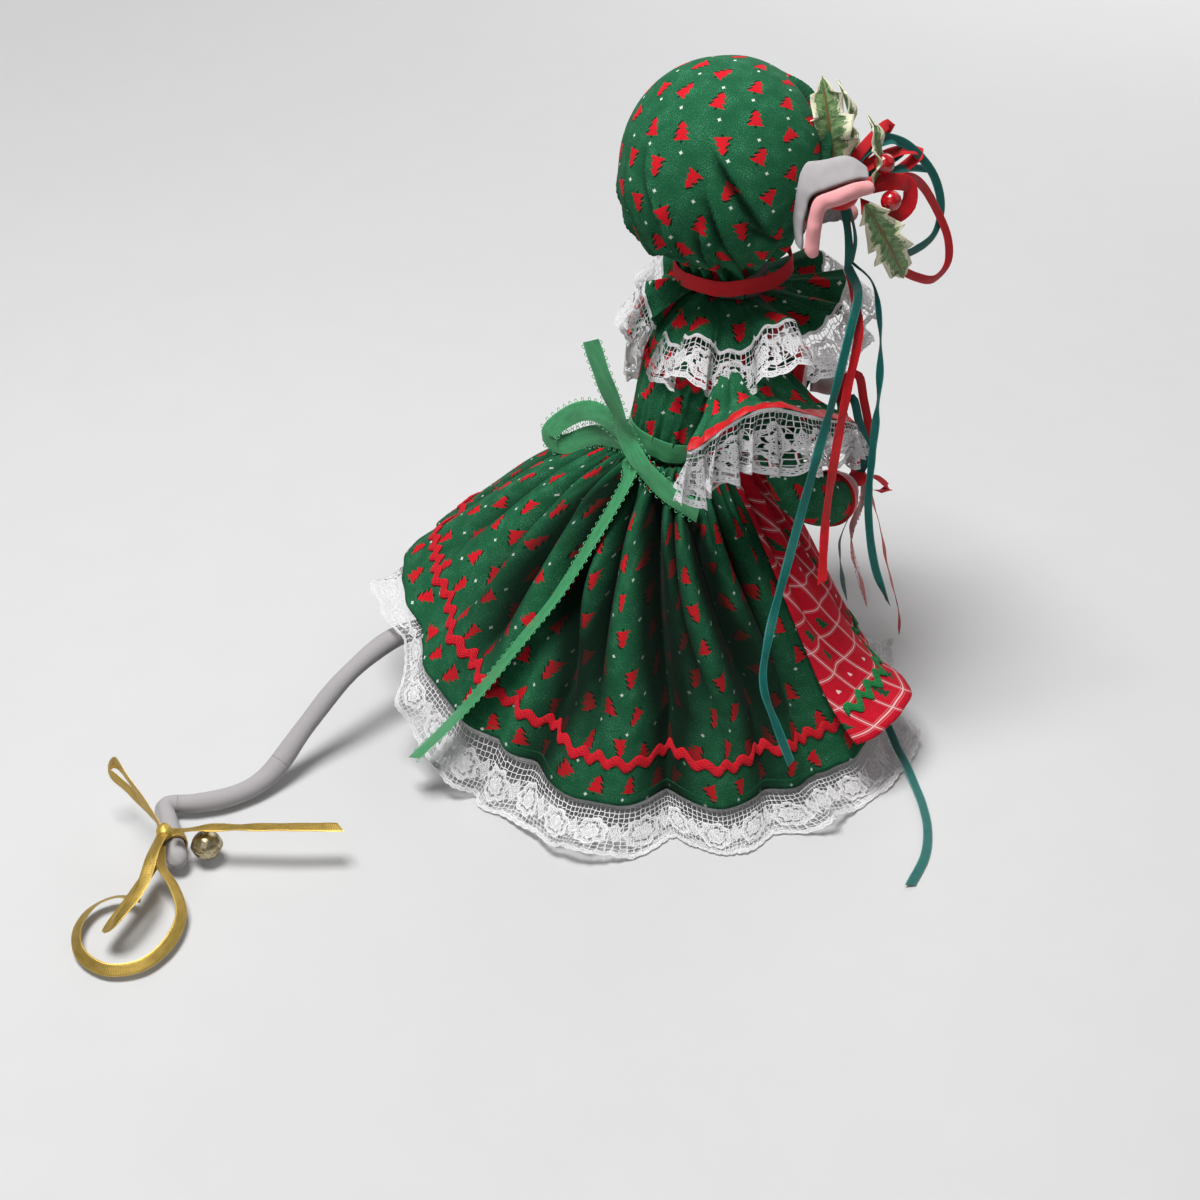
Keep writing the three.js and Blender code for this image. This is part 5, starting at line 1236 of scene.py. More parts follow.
class DOLL_OT_bodice(bpy.types.Operator):
    """Sew the bodice with its braid, sash and ruffled collar"""

    bl_idname = "doll.bodice"
    bl_label = "Bodice and Collar"

    def execute(self, context):
        columns, rows = 300, 60
        height_at = lambda row: lerp(97, 151, row / rows)

        def gathered(column, row):
            azimuth, height = 360 * column / columns, height_at(row)
            return bodice_point(azimuth, height, bodice_gathers(azimuth, height))

        cut = Cut()
        cut.grid(
            gathered, lambda column, row: (1000 * column / columns, height_at(row)),
            columns, rows, wraps=True, inside_out=True)
        bodice = cut.make("bodice_cloth", printed_cotton("bodice_cotton", girth=132))
        thicken(bodice, 0.6)
        fit(bodice, "doll", "cotton_print", "bodice")

        crowns = ((0, 0.9), (0.5, 1.05), (1, 0.8), (1, 0.6), (0.5, 0.85), (0, 0.7))
        rings = []
        for azimuth in range(0, 360, 2):
            ruck = 0.35 * wave(9 * azimuth) + 0.2 * wave(17 * azimuth + 50)
            sag = 0.25 * wave(5 * azimuth)
            rings.append([
                bodice_point(azimuth, lerp(98.7, 105.7, share) + sag, crown + ruck * (1 - share))
                for share, crown in crowns])
        green = bpy.data.materials["green_picot_satin"]
        band = satin_ring("waist_sash_satin", rings, 7, 0.7, green)
        fit(band, "doll", "green_picot_ribbon", "waist_sash")

        yoke = Cut()
        braid(
            yoke, (0, 360), lambda azimuth, rise: 127.6 - rise, 0.4, 22, 3.0, 1.3, bodice_point)
        trim = yoke.make("yoke_red_braid", bpy.data.materials["red_braid"])
        fit(trim, "doll", "red_rickrack", "yoke_rickrack")

        columns, rows, lace_rows = 420, 20, 22
        azimuth_at = lambda column: lerp(5, 355, column / columns)
        ruffle = Cut()
        ruffle.grid(
            lambda column, row: collar_point(
                azimuth_at(column), lerp(COLLAR_NECK, COLLAR_RIM, row / rows), 0),
            lambda column, row: (azimuth_at(column) * 1000 / 360, rows - row),
            columns, rows)
        collar = ruffle.make("collar_cloth", printed_cotton("collar_cotton", girth=215, taper=5.0))
        thicken(collar, 0.6)
        fit(collar, "doll", "cotton_print", "collar")
        width = 19.0
        first, last = COLLAR_RIM - 0.6, COLLAR_RIM + 17.5
        edge = Cut()
        edge.grid(
            lambda column, row: collar_point(
                azimuth_at(column), lerp(first, last, row / lace_rows), 0.25),
            lambda column, row: (azimuth_at(column) * 370 / 360, width * row / lace_rows + 0.01),
            columns, lace_rows)
        lace = edge.make("collar_lace_frill", lace_finish("collar_lace_threads", width))
        fit(lace, "doll", "white_lace", "collar_lace")
        return {"FINISHED"}


# Head, hood and ears

HEAD = Vector((0, -26, 195))
HEAD_RADIUS = 31.2
DROOP = math.radians(28.4)
SNOUT = Vector((0, -math.cos(DROOP), -math.sin(DROOP)))
BROW = Vector((0, -math.sin(DROOP), math.cos(DROOP)))
SIDE = Vector((1, 0, 0))
HOOD_RADIUS = 33.75
HOOD_NECK_RADIUS = 16.5
HOOD_NECK_TOP = 165.56
HOOD_NECK_BOTTOM = 156.35


def face_radius(reach):
    """The head's radius round its snout line, at a distance from its centre."""
    if reach < 12:
        return math.sqrt(max(HEAD_RADIUS ** 2 - reach ** 2, 0))
    if reach < 47:
        return lerp(28.8, 5, ((reach - 12) / 35) ** 0.8)
    return math.sqrt(max(25 - (reach - 47) ** 2, 0))


def hood_point(azimuth, polar_share):
    """A point on the puffed hood, from its crown at 0, past its nape at 0.9 to its frill at 1."""
    lowest = 180 - math.degrees(math.asin(HOOD_NECK_RADIUS / HOOD_RADIUS))
    if polar_share <= 0.9:
        polar = math.radians(lowest * polar_share / 0.9)
        radius, height = HOOD_RADIUS * math.sin(polar), HEAD.z + HOOD_RADIUS * math.cos(polar)
    else:
        share = (polar_share - 0.9) / 0.1
        radius = HOOD_NECK_RADIUS + 1.5 * smoothstep(share, 0.7, 1)
        height = lerp(HOOD_NECK_TOP, HOOD_NECK_BOTTOM, share)
    low = smoothstep(-height, -(HEAD.z - 24), -161)
    drawn = smoothstep(-height, -(HEAD.z + 6), -(HEAD.z - 28))
    nape = max(math.cos(math.radians(azimuth - 40)), 0)
    turn = azimuth * 21 + 70 * wave(3 * azimuth) + 0.8 * (height - HEAD.z)
    gathers = 0.5 + 0.5 * math.cos(math.radians(turn))
    fine = math.cos(math.radians(azimuth * 34 + 50 * wave(5 * azimuth)))
    radius += 1.8 * nape * bump(height, HEAD.z - 14, 15)
    radius += drawn ** 2 * (3.4 * gathers ** 1.2 - 1.7 + 0.5 * fine)
    radius += 0.35 * wave(4 * azimuth + 3 * height)
    return around(azimuth, radius, height, lerp(HEAD.y, NECK_Y, low))


def tuck(place, start, end, height, width):
    """How far a crease that runs between two directions lifts the hood at a place, and its shade."""
    direction = (place - HEAD).normalized()
    first, last = Vector(start).normalized(), Vector(end).normalized()
    pole = first.cross(last).normalized()
    span = first.angle(last)
    run = pole.cross(first)
    along = math.atan2(direction.dot(run), direction.dot(first)) / span
    away = math.asin(max(min(direction.dot(pole), 1), -1)) * HOOD_RADIUS + 1.2 * wave(150 * along)
    ends = smoothstep(along, -0.1, 0.35) * (1 - smoothstep(along, 0.85, 1.2))
    lip = math.exp(-away / width) if away > 0 else -0.5 * math.exp(away / (width * 0.5))
    return height * ends * lip * smoothstep(abs(away), -0.3, 0.5), ends * bump(away, -0.9, 1.5)


# Each crease has its two directions from the head's middle, its height and its width.
HOOD_TUCKS = (
    ((-0.69, 0.52, 0.5), (-0.97, 0.08, -0.23), 2.6, 5),
    ((-0.77, 0.62, 0.16), (-0.75, 0.17, -0.64), 2.4, 4.5),
    ((-0.01, -0.6, 0.8), (-0.76, -0.62, 0.22), 2.6, 5),
    ((-0.16, 0.92, 0.36), (-0.44, 0.88, -0.17), 2.2, 4),
    ((-0.38, 0.92, -0.04), (-0.53, 0.53, -0.66), 2.6, 4),
    ((0.27, 0.9, -0.35), (-0.05, 0.67, -0.74), 2.0, 3.4),
    ((-0.93, 0.35, -0.07), (-0.9, -0.2, -0.39), 1.6, 3.4),
    ((-0.84, 0.54, -0.08), (-0.84, 0.3, -0.46), 2.0, 3.2),
    ((-0.74, 0.65, -0.19), (-0.65, 0.42, -0.63), 2.0, 3.0),
    ((0.5, 0.8, -0.1), (0.1, 0.7, -0.7), 2.4, 3.4),
    ((0.8, 0.3, 0.3), (0.75, -0.2, -0.55), 2.4, 4.4),
    ((0.1, 0.95, 0.15), (-0.25, 0.72, -0.62), 2.4, 3.6),
)


def tucked(place):
    """The lift and the shade of all the hood's creases at a place."""
    lifts, shades = zip(*(tuck(place, *line) for line in HOOD_TUCKS))
    return sum(lifts), max(shades)


class DOLL_OT_head(bpy.types.Operator):
    """Stuff the felt head and draw the hood over it"""

    bl_idname = "doll.head"
    bl_label = "Head and Hood"

    def execute(self, context):
        grey = felt_finish("grey_felt", colours().grey_felt)
        pink = felt_finish("pink_felt", colours().pink_felt, dark=0.78)
        columns, rows = 72, 64

        def face(column, row):
            reach = lerp(-HEAD_RADIUS + 0.02, 51.98, row / rows)
            angle = math.tau * column / columns
            radius = face_radius(reach)
            cheek = 1.6 * bump(reach, 22, 9) * math.cos(angle) ** 2
            ring = SIDE * math.cos(angle) + BROW * math.sin(angle)
            return HEAD + SNOUT * reach + ring * (radius + cheek)

        cut = Cut()
        rings = [[face(column, row) for column in range(columns)] for row in range(rows + 1)]
        cut.tube(rings, lambda side, span: (2.6 * side, 1.3 * span))
        neck = [
            [around(11.25 * side - 90, 11.5, height, NECK_Y) for side in range(32)]
            for height in (151.4, 160, 172)]
        cut.tube(neck, lambda side, span: (2.3 * side, 9 * span))
        head = cut.make("head_felt", grey)
        fit(head, "head_body", "grey_felt", "head")

        snub = Cut()
        snub.ball(HEAD + SNOUT * 53.52, (3.9, 3.5, 3.3))
        nose = snub.make("nose_felt", pink)
        fit(nose, "head_body", "pink_felt", "nose")

        columns, rows = 300, 130
        centre = Vector((-0.35, 0.85, 0.4)).normalized()
        right = centre.cross(Vector((0, 0, 1))).normalized()
        over = right.cross(centre)
        spots = [
            [hood_point(360 * column / columns, row / rows) for column in range(columns + 1)]
            for row in range(rows + 1)]
        folds = [[tucked(place) for place in row] for row in spots]

        def puffed(column, row):
            place = spots[row][column]
            return place + (place - HEAD).normalized() * folds[row][column][0]

        def flat(column, row):
            direction = (spots[row][column] - HEAD).normalized()
            x, y = direction.dot(right), direction.dot(over)
            reach = HOOD_RADIUS * direction.angle(centre) / max(math.hypot(x, y), 1e-6)
            return (reach * x + 150, reach * y + 150)

        # Each point of the hood carries the painted shade beside its tucks
        cap = Cut()
        cap.grid(
            puffed, flat, columns, rows, wraps=True,
            crease=lambda column, row: 0.85 * folds[row][column][1])
        hood = cap.make("hood_cloth", printed_cotton("hood_cotton", girth=1000))
        only(hood)
        bpy.ops.object.mode_set(mode="EDIT")
        bpy.ops.mesh.select_all(action="SELECT")
        brim = (HEAD + SNOUT * 17) * MM
        bpy.ops.mesh.bisect(plane_co=brim, plane_no=SNOUT, clear_outer=True)
        bpy.ops.object.mode_set(mode="OBJECT")
        thicken(hood, 0.7)
        fit(hood, "head_body", "cotton_print", "hood")

        crowns = ((-1, 0.3), (0, 0.2), (1, -0.3), (1, -0.5), (0, 0), (-1, 0.1))
        lean = Matrix.Rotation(-math.radians(3.9), 3, "X")
        rings = []
        for step in range(120):
            angle = math.tau * step / 120
            ruck = 0.3 * math.sin(7 * angle)
            ring = []
            for share, crown in crowns:
                radius = 19.2 + crown + ruck * 0.4
                x, y = radius * math.cos(angle), (radius + 0.6) * math.sin(angle)
                place = lean @ Vector((x, y, 2.6 * share + ruck))
                ring.append(place + Vector((0, NECK_Y - 0.2, 160.35)))
            rings.append(ring)
        band = satin_ring("neck_satin", rings, 6, 1, bpy.data.materials["red_satin"])
        fit(band, "head_body", "red_satin", "neck_ribbon")
        return {"FINISHED"}


EAR_MIDDLE = Vector((39.5, -43.6, 190.6))
EAR_OUT = Vector((0.9, 0.36, 0.25)).normalized()
EAR_FORWARD = Vector((0.37, -0.93, 0)).normalized()
EAR_UP = EAR_FORWARD.cross(EAR_OUT)
# Lines along each felt, from its outer edge over its fold to its inner edge, as places forward,
# up and out from the ear's middle
EAR_RAILS = {
    "ear": (
        ((-9, -7, -9), (-10.5, 0, -9), (-9, 10, -9), (0, 12.5, -9), (6.5, 12, -6), (9, 12.5, -2.5)),
        ((-12, -9, -3), (-13.2, 1, -3), (-12, 14.5, -3.5), (-4, 16.2, -3), (4, 17.4, -3), (9.7, 14, -1)),
        ((-12, -10, 0), (-12, 1, 0.5), (-10.5, 9.5, 0.6), (-1, 12.5, 0.8), (6, 13.8, 0.6),
         (10, 12.5, 0.4)),
        ((-11, -11, 1.2), (-10, 0, 2), (-8, 6, 2.4), (-2, 8.5, 2.8), (5, 10.8, 2.6), (9.8, 11, 1.6))),
    "ear_lining": (
        ((-10.2, -11, 2.4), (-9.2, 0, 3.2), (-7.2, 5.8, 3.6), (-1.4, 8.2, 4), (5.2, 10.4, 3.8),
         (10, 10.6, 2.6)),
        ((-8, -13.4, 3.2), (-7, -2, 4.8), (-5.6, 3.4, 5.2), (-0.4, 5.6, 5.6), (6.5, 8.2, 5.2),
         (11.4, 8.6, 3.8)),
        ((-5.4, -12.6, 2.2), (-4.6, -3, 3.2), (-3.6, 1.4, 3.6), (1, 3, 3.8), (7.2, 5.4, 3.6),
         (11, 6.2, 2.8)),
        ((-7, -9.5, -6), (-6.8, -1, -7), (-5, 4.5, -7), (0, 6.5, -7), (6, 9, -4.5), (9.5, 10, -1))),
}


class DOLL_OT_ears(bpy.types.Operator):
    """Cut and curl the felt ears and their pink linings"""

    bl_idname = "doll.ears"
    bl_label = "Ears"

    def execute(self, context):
        for prefix, side in (("right", -1), ("left", 1)):
            for part, finish, thickness in (
                    ("ear", "grey_felt", 1.7), ("ear_lining", "pink_felt", 1.2)):
                rails = [smooth_line(rail, 40)[0] for rail in EAR_RAILS[part]]
                sections = [smooth_line(places, 12)[0] for places in zip(*rails)]

                def at(column, row):
                    forward, up, out = sections[column][row]
                    out += 0.5 * soft_noise(sections[column][row] * 0.35)
                    place = EAR_MIDDLE + EAR_FORWARD * forward + EAR_UP * up + EAR_OUT * out
                    return Vector((place.x * side, place.y, place.z))

                cut = Cut()
                cut.grid(at, lambda column, row: (column, row), 40, 12, inside_out=side > 0)
                piece = cut.make(f"{prefix}_{part}_felt", bpy.data.materials[finish])
                thicken(piece, thickness)
                bpy.ops.object.modifier_add(type="SUBSURF")
                bpy.ops.object.modifier_apply(modifier=piece.modifiers[-1].name)
                fit(piece, "head_body", finish, f"{prefix}_{part}")
        return {"FINISHED"}


# Arms

CUFF_LONG = Vector((-0.14, -0.97, -0.21)).normalized()
CUFF_SHORT = Vector((0.65, 0.1, 0.75)).normalized()
CUFF_DOWN = CUFF_SHORT.cross(CUFF_LONG).normalized()
CUFF_SHORT_HALF = 13
ARMS = {
    "right": {
        "side": -1, "lift": 0, "long": 35, "cuff": Vector((40, -26, 117)), "cloth": 0.0055,
        "frill": 0.165},
    "left": {
        "side": 1, "lift": 15, "long": 29, "cuff": Vector((36, -36, 117)), "cloth": 0.0042,
        "frill": 0.14},
}


def on_arm(arm, point):
    """Puts a point of the lowered left arm on either side, lifted about its shoulder."""
    lift = Matrix.Rotation(math.radians(arm["lift"]), 3, Vector((-1, 0, 0)))
    x, y, z = lift @ (point - SHOULDER) + SHOULDER
    return Vector((x * arm["side"], y, z))


def rings_on_arm(arm, rings):
    """Whole rings put on an arm, still facing outward."""
    turn = 1 if arm["side"] < 0 else -1
    return [[on_arm(arm, point) for point in ring][::turn] for ring in rings]


def sleeve_frame(arm, share):
    """The sleeve's middle, its two directions and its two half widths at a share of its length."""
    start = Vector((23.35, SHOULDER.y, SHOULDER.z))
    middle = start.lerp(arm["cuff"], share) - Vector((0, 0, 1.8 * math.sin(math.pi * share)))
    turned = smoothstep(share, 0, 0.6)
    long_way = Vector((0, -1, 0)).lerp(CUFF_LONG, turned).normalized()
    short_way = Vector((0, 0, 1)).lerp(CUFF_SHORT, turned).normalized()
    stations = (
        (0, 8, 8), (0.22, lerp(7, arm["long"], 0.2), 7), (0.55, lerp(7, arm["long"], 0.52), 8.5),
        (1, arm["long"], CUFF_SHORT_HALF))
    low, high, part = station_at(stations, share)
    part = lerp(part, smoothstep(part, 0, 1), 0.35)
    return middle, long_way, short_way, lerp(low[1], high[1], part), lerp(low[2], high[2], part)


def cuff_arch(degrees):
    """How far the cuff's edge is drawn up or hangs down at an angle round it."""
    return 6.5 * bump(degrees, 104, 30) - 2.5 * bump(degrees, 160, 22) - 1.5


def sleeve_point(arm, turn, share, offset):
    """A point on a sleeve; turn is a full round from 0 to 1."""
    middle, long_way, short_way, long, short = sleeve_frame(arm, share)
    degrees = 360 * turn
    cosine, sine = wave(degrees + 90), wave(degrees)
    pleats = wave(13 * degrees + 60 * wave(2 * degrees) + 30 * share)
    fold = (0.9 * pleats + 0.4 * wave(29 * degrees)) * (0.35 + share) * smoothstep(share, 0.05, 0.3)
    fold *= 1 - 0.75 * smoothstep(share, 0.86, 1)
    grown = offset + fold
    place = middle + long_way * ((long + grown) * cosine) + short_way * ((short + grown) * sine)
    place.z += cuff_arch(degrees) * smoothstep(share, 0.5, 1)
    return on_arm(arm, place)


def cuff_point(arm, turn, share, inset):
    """A point on the lace that hangs from the cuff, from the cuff at 0 to its edge at 1."""
    degrees = 360 * turn
    cosine, sine = wave(degrees + 90), wave(degrees)
    rim = arm["cuff"] + CUFF_DOWN * 0.1
    rim += CUFF_LONG * ((arm["long"] - inset) * cosine)
    rim += CUFF_SHORT * ((CUFF_SHORT_HALF - inset) * sine)
    outward = rim - arm["cuff"]
    outward.z = 0
    outward.normalize()
    drop = 18 + 6 * sine - 6 * max(cosine, 0)
    turn = 11 * degrees + 60 * wave(3 * degrees)
    flute = wave(turn)
    along = outward.cross(Vector((0, 0, 1)))
    rim += outward * ((2.4 + 3.6 * flute + 0.7 * wave(27 * degrees)) * share ** 0.8)
    rim += along * (3.4 * wave(2 * turn + 180) * share)
    rim.z += cuff_arch(degrees)
    rim.z += (1.6 * flute - drop - 1.5 * wave(5 * degrees + 20)) * share
    return on_arm(arm, rim)


# The forearm's path from the cuff, and the red band and pale edge of its trim
FOREARM = [Vector(place) for place in (
    (-0.5, -4, -13), (-0.5, -10, -24.5), (-1.5, -20, -32.5), (-9, -31, -37))]
FOREARM_RADIUS = 8.6
FOREARM_TRIM = ((35, 38, 1.1, 1), (38, 39, 0.7, 2))
PAW_RADIUS = 6.6


def limb_rings(places, radius_at, count, sides, side_way, gap=1):
    """Round rings along a path; radius_at gives both half widths from a share and an angle."""
    line, length = smooth_line(places, count)
    rings = []
    for step, point in enumerate(line):
        tangent = (line[min(step + gap, count)] - line[max(step - gap, 0)]).normalized()
        short = (side_way - tangent * side_way.dot(tangent)).normalized()
        long = short.cross(tangent)
        ring = []
        for side in range(sides):
            angle = math.tau * side / sides
            wide, high = radius_at(step / count, angle)
            ring.append(point + long * (wide * math.cos(angle)) + short * (high * math.sin(angle)))
        rings.append(ring)
    return line, rings, length


def forearm_radius(share, _):
    """The forearm's half widths, drawn in at the cuff and rounded at the wrist."""
    radius = FOREARM_RADIUS * lerp(0.8, 1, smoothstep(share, 0.3, 0.6))
    radius *= 1 + 0.02 * wave(900 * share)
    radius *= math.sqrt(max(1 - (max(share - 0.93, 0) / 0.075) ** 2, 0.04))
    return radius, radius


def paw_radius(share, _):
    """The paw's half widths, rounded at its tip."""
    radius = PAW_RADIUS * math.sqrt(max(1 - (max(share - 0.35, 0) / 0.66) ** 2, 0.003))
    return radius, radius


class DOLL_OT_arms(bpy.types.Operator):
    """Sew the wide sleeves, their satin bands and lace, and the stuffed forearms"""

    bl_idname = "doll.arms"
    bl_label = "Arms"

    def execute(self, context):
        cotton = printed_cotton("sleeve_cotton", girth=150)
        forearm_cotton = printed_cotton("forearm_cotton", girth=56)
        band_satin = ribbon_finish("band_satin", colours().red_satin, 6.0)
        lace_threads = lace_finish("cuff_lace_threads", 21.0)
        for prefix, arm in ARMS.items():
            body = f"{prefix}_arm"
            columns, rows, turned_in = 240, 50, 8
            mirrored = arm["side"] < 0
            inside = on_arm(arm, arm["cuff"] - CUFF_DOWN * 3)

            def at(column, row):
                place = sleeve_point(arm, column / columns, min(row / (rows - turned_in), 1), 0)
                hidden = max(row - (rows - turned_in), 0) / turned_in
                return place.lerp(inside, 0.85 * hidden ** 0.8)

            cut = Cut()
            cut.grid(
                at, lambda column, row: (1000 * column / columns, 40 * row / rows),
                columns, rows, wraps=True, inside_out=not mirrored)
            sleeve = cut.make(f"{prefix}_sleeve_cloth", cotton)
            thicken(sleeve, 0.5)
            fit(sleeve, body, "cotton_print", f"{prefix}_sleeve")

            crowns = ((0.84, 0.9), (0.92, 1.2), (1, 1.1), (1, 0.8), (0.92, 0.9), (0.84, 0.6))
            rings = [
                [sleeve_point(arm, step / 160, *crown) for crown in crowns[::1 if mirrored else -1]]
                for step in range(160)]
            satin = satin_ring(f"{prefix}_sleeve_satin", rings, 6, 0.9, band_satin)
            fit(satin, body, "red_satin", f"{prefix}_sleeve_band")

            columns, rows = 420, 20
            frill = Cut()
            frill.grid(
                lambda column, row: cuff_point(arm, column / columns, row / rows, -0.7),
                lambda column, row: (column / columns * 220, 21 * row / rows + 0.01),
                columns, rows, wraps=True, inside_out=not mirrored)
            lace = frill.make(f"{prefix}_cuff_frill", lace_threads)
            fit(lace, body, "white_lace", f"{prefix}_sleeve_lace")

            start = arm["cuff"] + CUFF_DOWN * 0.35 - CUFF_SHORT
            route = [start, *(arm["cuff"] + place for place in FOREARM)]
            _, rings, length = limb_rings(route, forearm_radius, 40, 40, SIDE)
            rings = rings_on_arm(arm, rings)
            limb = Cut()
            limb.tube(rings, lambda side, span: (25 * side, length * span / 40))
            for first, last, grown, kind in FOREARM_TRIM:
                hoop = []
                for row, out in ((first, -0.5), (first, grown), (last, grown), (last, -0.5)):
                    ring = rings[row]
                    middle = sum(ring, Vector()) / len(ring)
                    hoop.append([point + (point - middle).normalized() * out for point in ring])
                limb.tube(hoop, lambda side, span: (3 * span, side), kind)
            forearm = limb.make(
                f"{prefix}_forearm_cloth", forearm_cotton, band_satin,
                bpy.data.materials["pale_thread"])
            sharpen(forearm, SATIN_ANGLE)
            fit(forearm, body, "cotton_print", f"{prefix}_forearm")

            wrist = arm["cuff"] + FOREARM[-1]
            heading = (FOREARM[-1] - FOREARM[-2]).normalized()
            route = [
                wrist + heading * (reach * 0.8) - SIDE * max(reach - 6, 0)
                for reach in (0.45, 5, 9, 12)]
            _, rings, length = limb_rings(route, paw_radius, 24, 32, Vector((0.5, 0, 1)))
            mitt = Cut()
            mitt.tube(
                rings_on_arm(arm, rings), lambda side, span: (1.3 * side, length * span / 24))
            paw = mitt.make(f"{prefix}_paw_felt", bpy.data.materials["grey_felt"])
            fit(paw, body, "grey_felt", f"{prefix}_paw")
        return {"FINISHED"}


# Tail

TAIL_BASE = ((22, 64.7, 31), (20.5, 78, 31), (19, 91, 30.5), (11, 111, 26), (3.5, 129, 15.5))
TAIL_ELBOW = (-4.5, 145, 6)
TAIL_MIDDLE = ((-7.5, 153, 4.6), (-8.5, 162, 4.3), (-7, 172, 4.4))
TAIL_KINK = (-4.5, 181.5, 4.8)
TAIL_TIP = ((-14, 183.5, 5), (-24, 184.5, 5.2), (-34, 185.5, 5.6))


class DOLL_OT_tail(bpy.types.Operator):
    """Roll the long felt tail, bent at its elbow and its kink"""

    bl_idname = "doll.tail"
    bl_label = "Tail"

    def execute(self, context):
        grey = bpy.data.materials["grey_felt"]
        places = [*TAIL_BASE, TAIL_ELBOW, *TAIL_MIDDLE, TAIL_KINK, *TAIL_TIP]
        count = 260
        whole = smooth_line(places, count)[1]

        def tail_radius(share, angle):
            """Lumpy, with a groove along its seam, and rounded at its tip."""
            along = whole * share
            radius = 3.55 + 0.22 * wave(along * 5) + 0.14 * wave(along * 13 + 50)
            tip = max(1 - (whole - along + 2.6) / 5.0, 0)
            radius *= math.sqrt(max(1 - tip ** 2, 0.05))
            radius -= 0.5 * bump(math.degrees(angle) - 150 - 8 * wave(along * 2), 0, 16)
            return radius, 0.94 * radius

        line, rings, length = limb_rings(places, tail_radius, count, 28, Vector((0, 0, 1)), gap=3)
        outward = Vector((-1, 0.1, 0.04)).normalized()
        for share, push in ((0.8, 0.9), (0.45, 1.9), (0.12, 2.3)):
            rings.append([line[-1].lerp(point, share) + outward * push for point in rings[count]])
        flat = lambda side, span: (0.8 * side, length * span / count)

        def nearest(place):
            return min(range(count), key=lambda step: (line[step] - Vector(place)).length)

        elbow, kink = nearest(TAIL_ELBOW) - 8, nearest(TAIL_KINK) - 7
        pieces = {}
        for name, first, last in (
                ("tail_base_felt", 0, elbow), ("tail_middle_felt", elbow, kink),
                ("tail_end_felt", kink, len(rings) - 1)):
            cut = Cut()
            cut.tube(rings[first:last + 1], flat)
            pieces[name] = cut.make(name, grey)
        fit(pieces["tail_base_felt"], "doll", "grey_felt", "tail_base")
        bends = {
            "tail_middle": ("doll", "tail_mid_body", TAIL_ELBOW, TAIL_BASE[-1], TAIL_MIDDLE[0]),
            "tail_end": ("tail_mid_body", "tail_end_body", TAIL_KINK, TAIL_MIDDLE[-1], TAIL_TIP[0]),
        }
        for node, (first, second, bend, before, after) in bends.items():
            piece = pieces[node + "_felt"]
            start = Vector(bend).lerp(Vector(before), 0.25)
            end = Vector(bend).lerp(Vector(after), 0.4)
            list(start * MM)
            list(end * MM)
            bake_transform(piece)
            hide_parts(node)
        return {"FINISHED"}


# Bows, with the routes of their loops and ends

ACROSS_HAND, UP_WRIST, UP_HEAD = (0, -0.3, 1), (-0.9, 0.4, 0.2), (-1, -0.15, 0.1)
OVER_HIP, AT_TEMPLE = (-0.3, 0.6, 0.7), (-0.5, 0.3, 0.8)

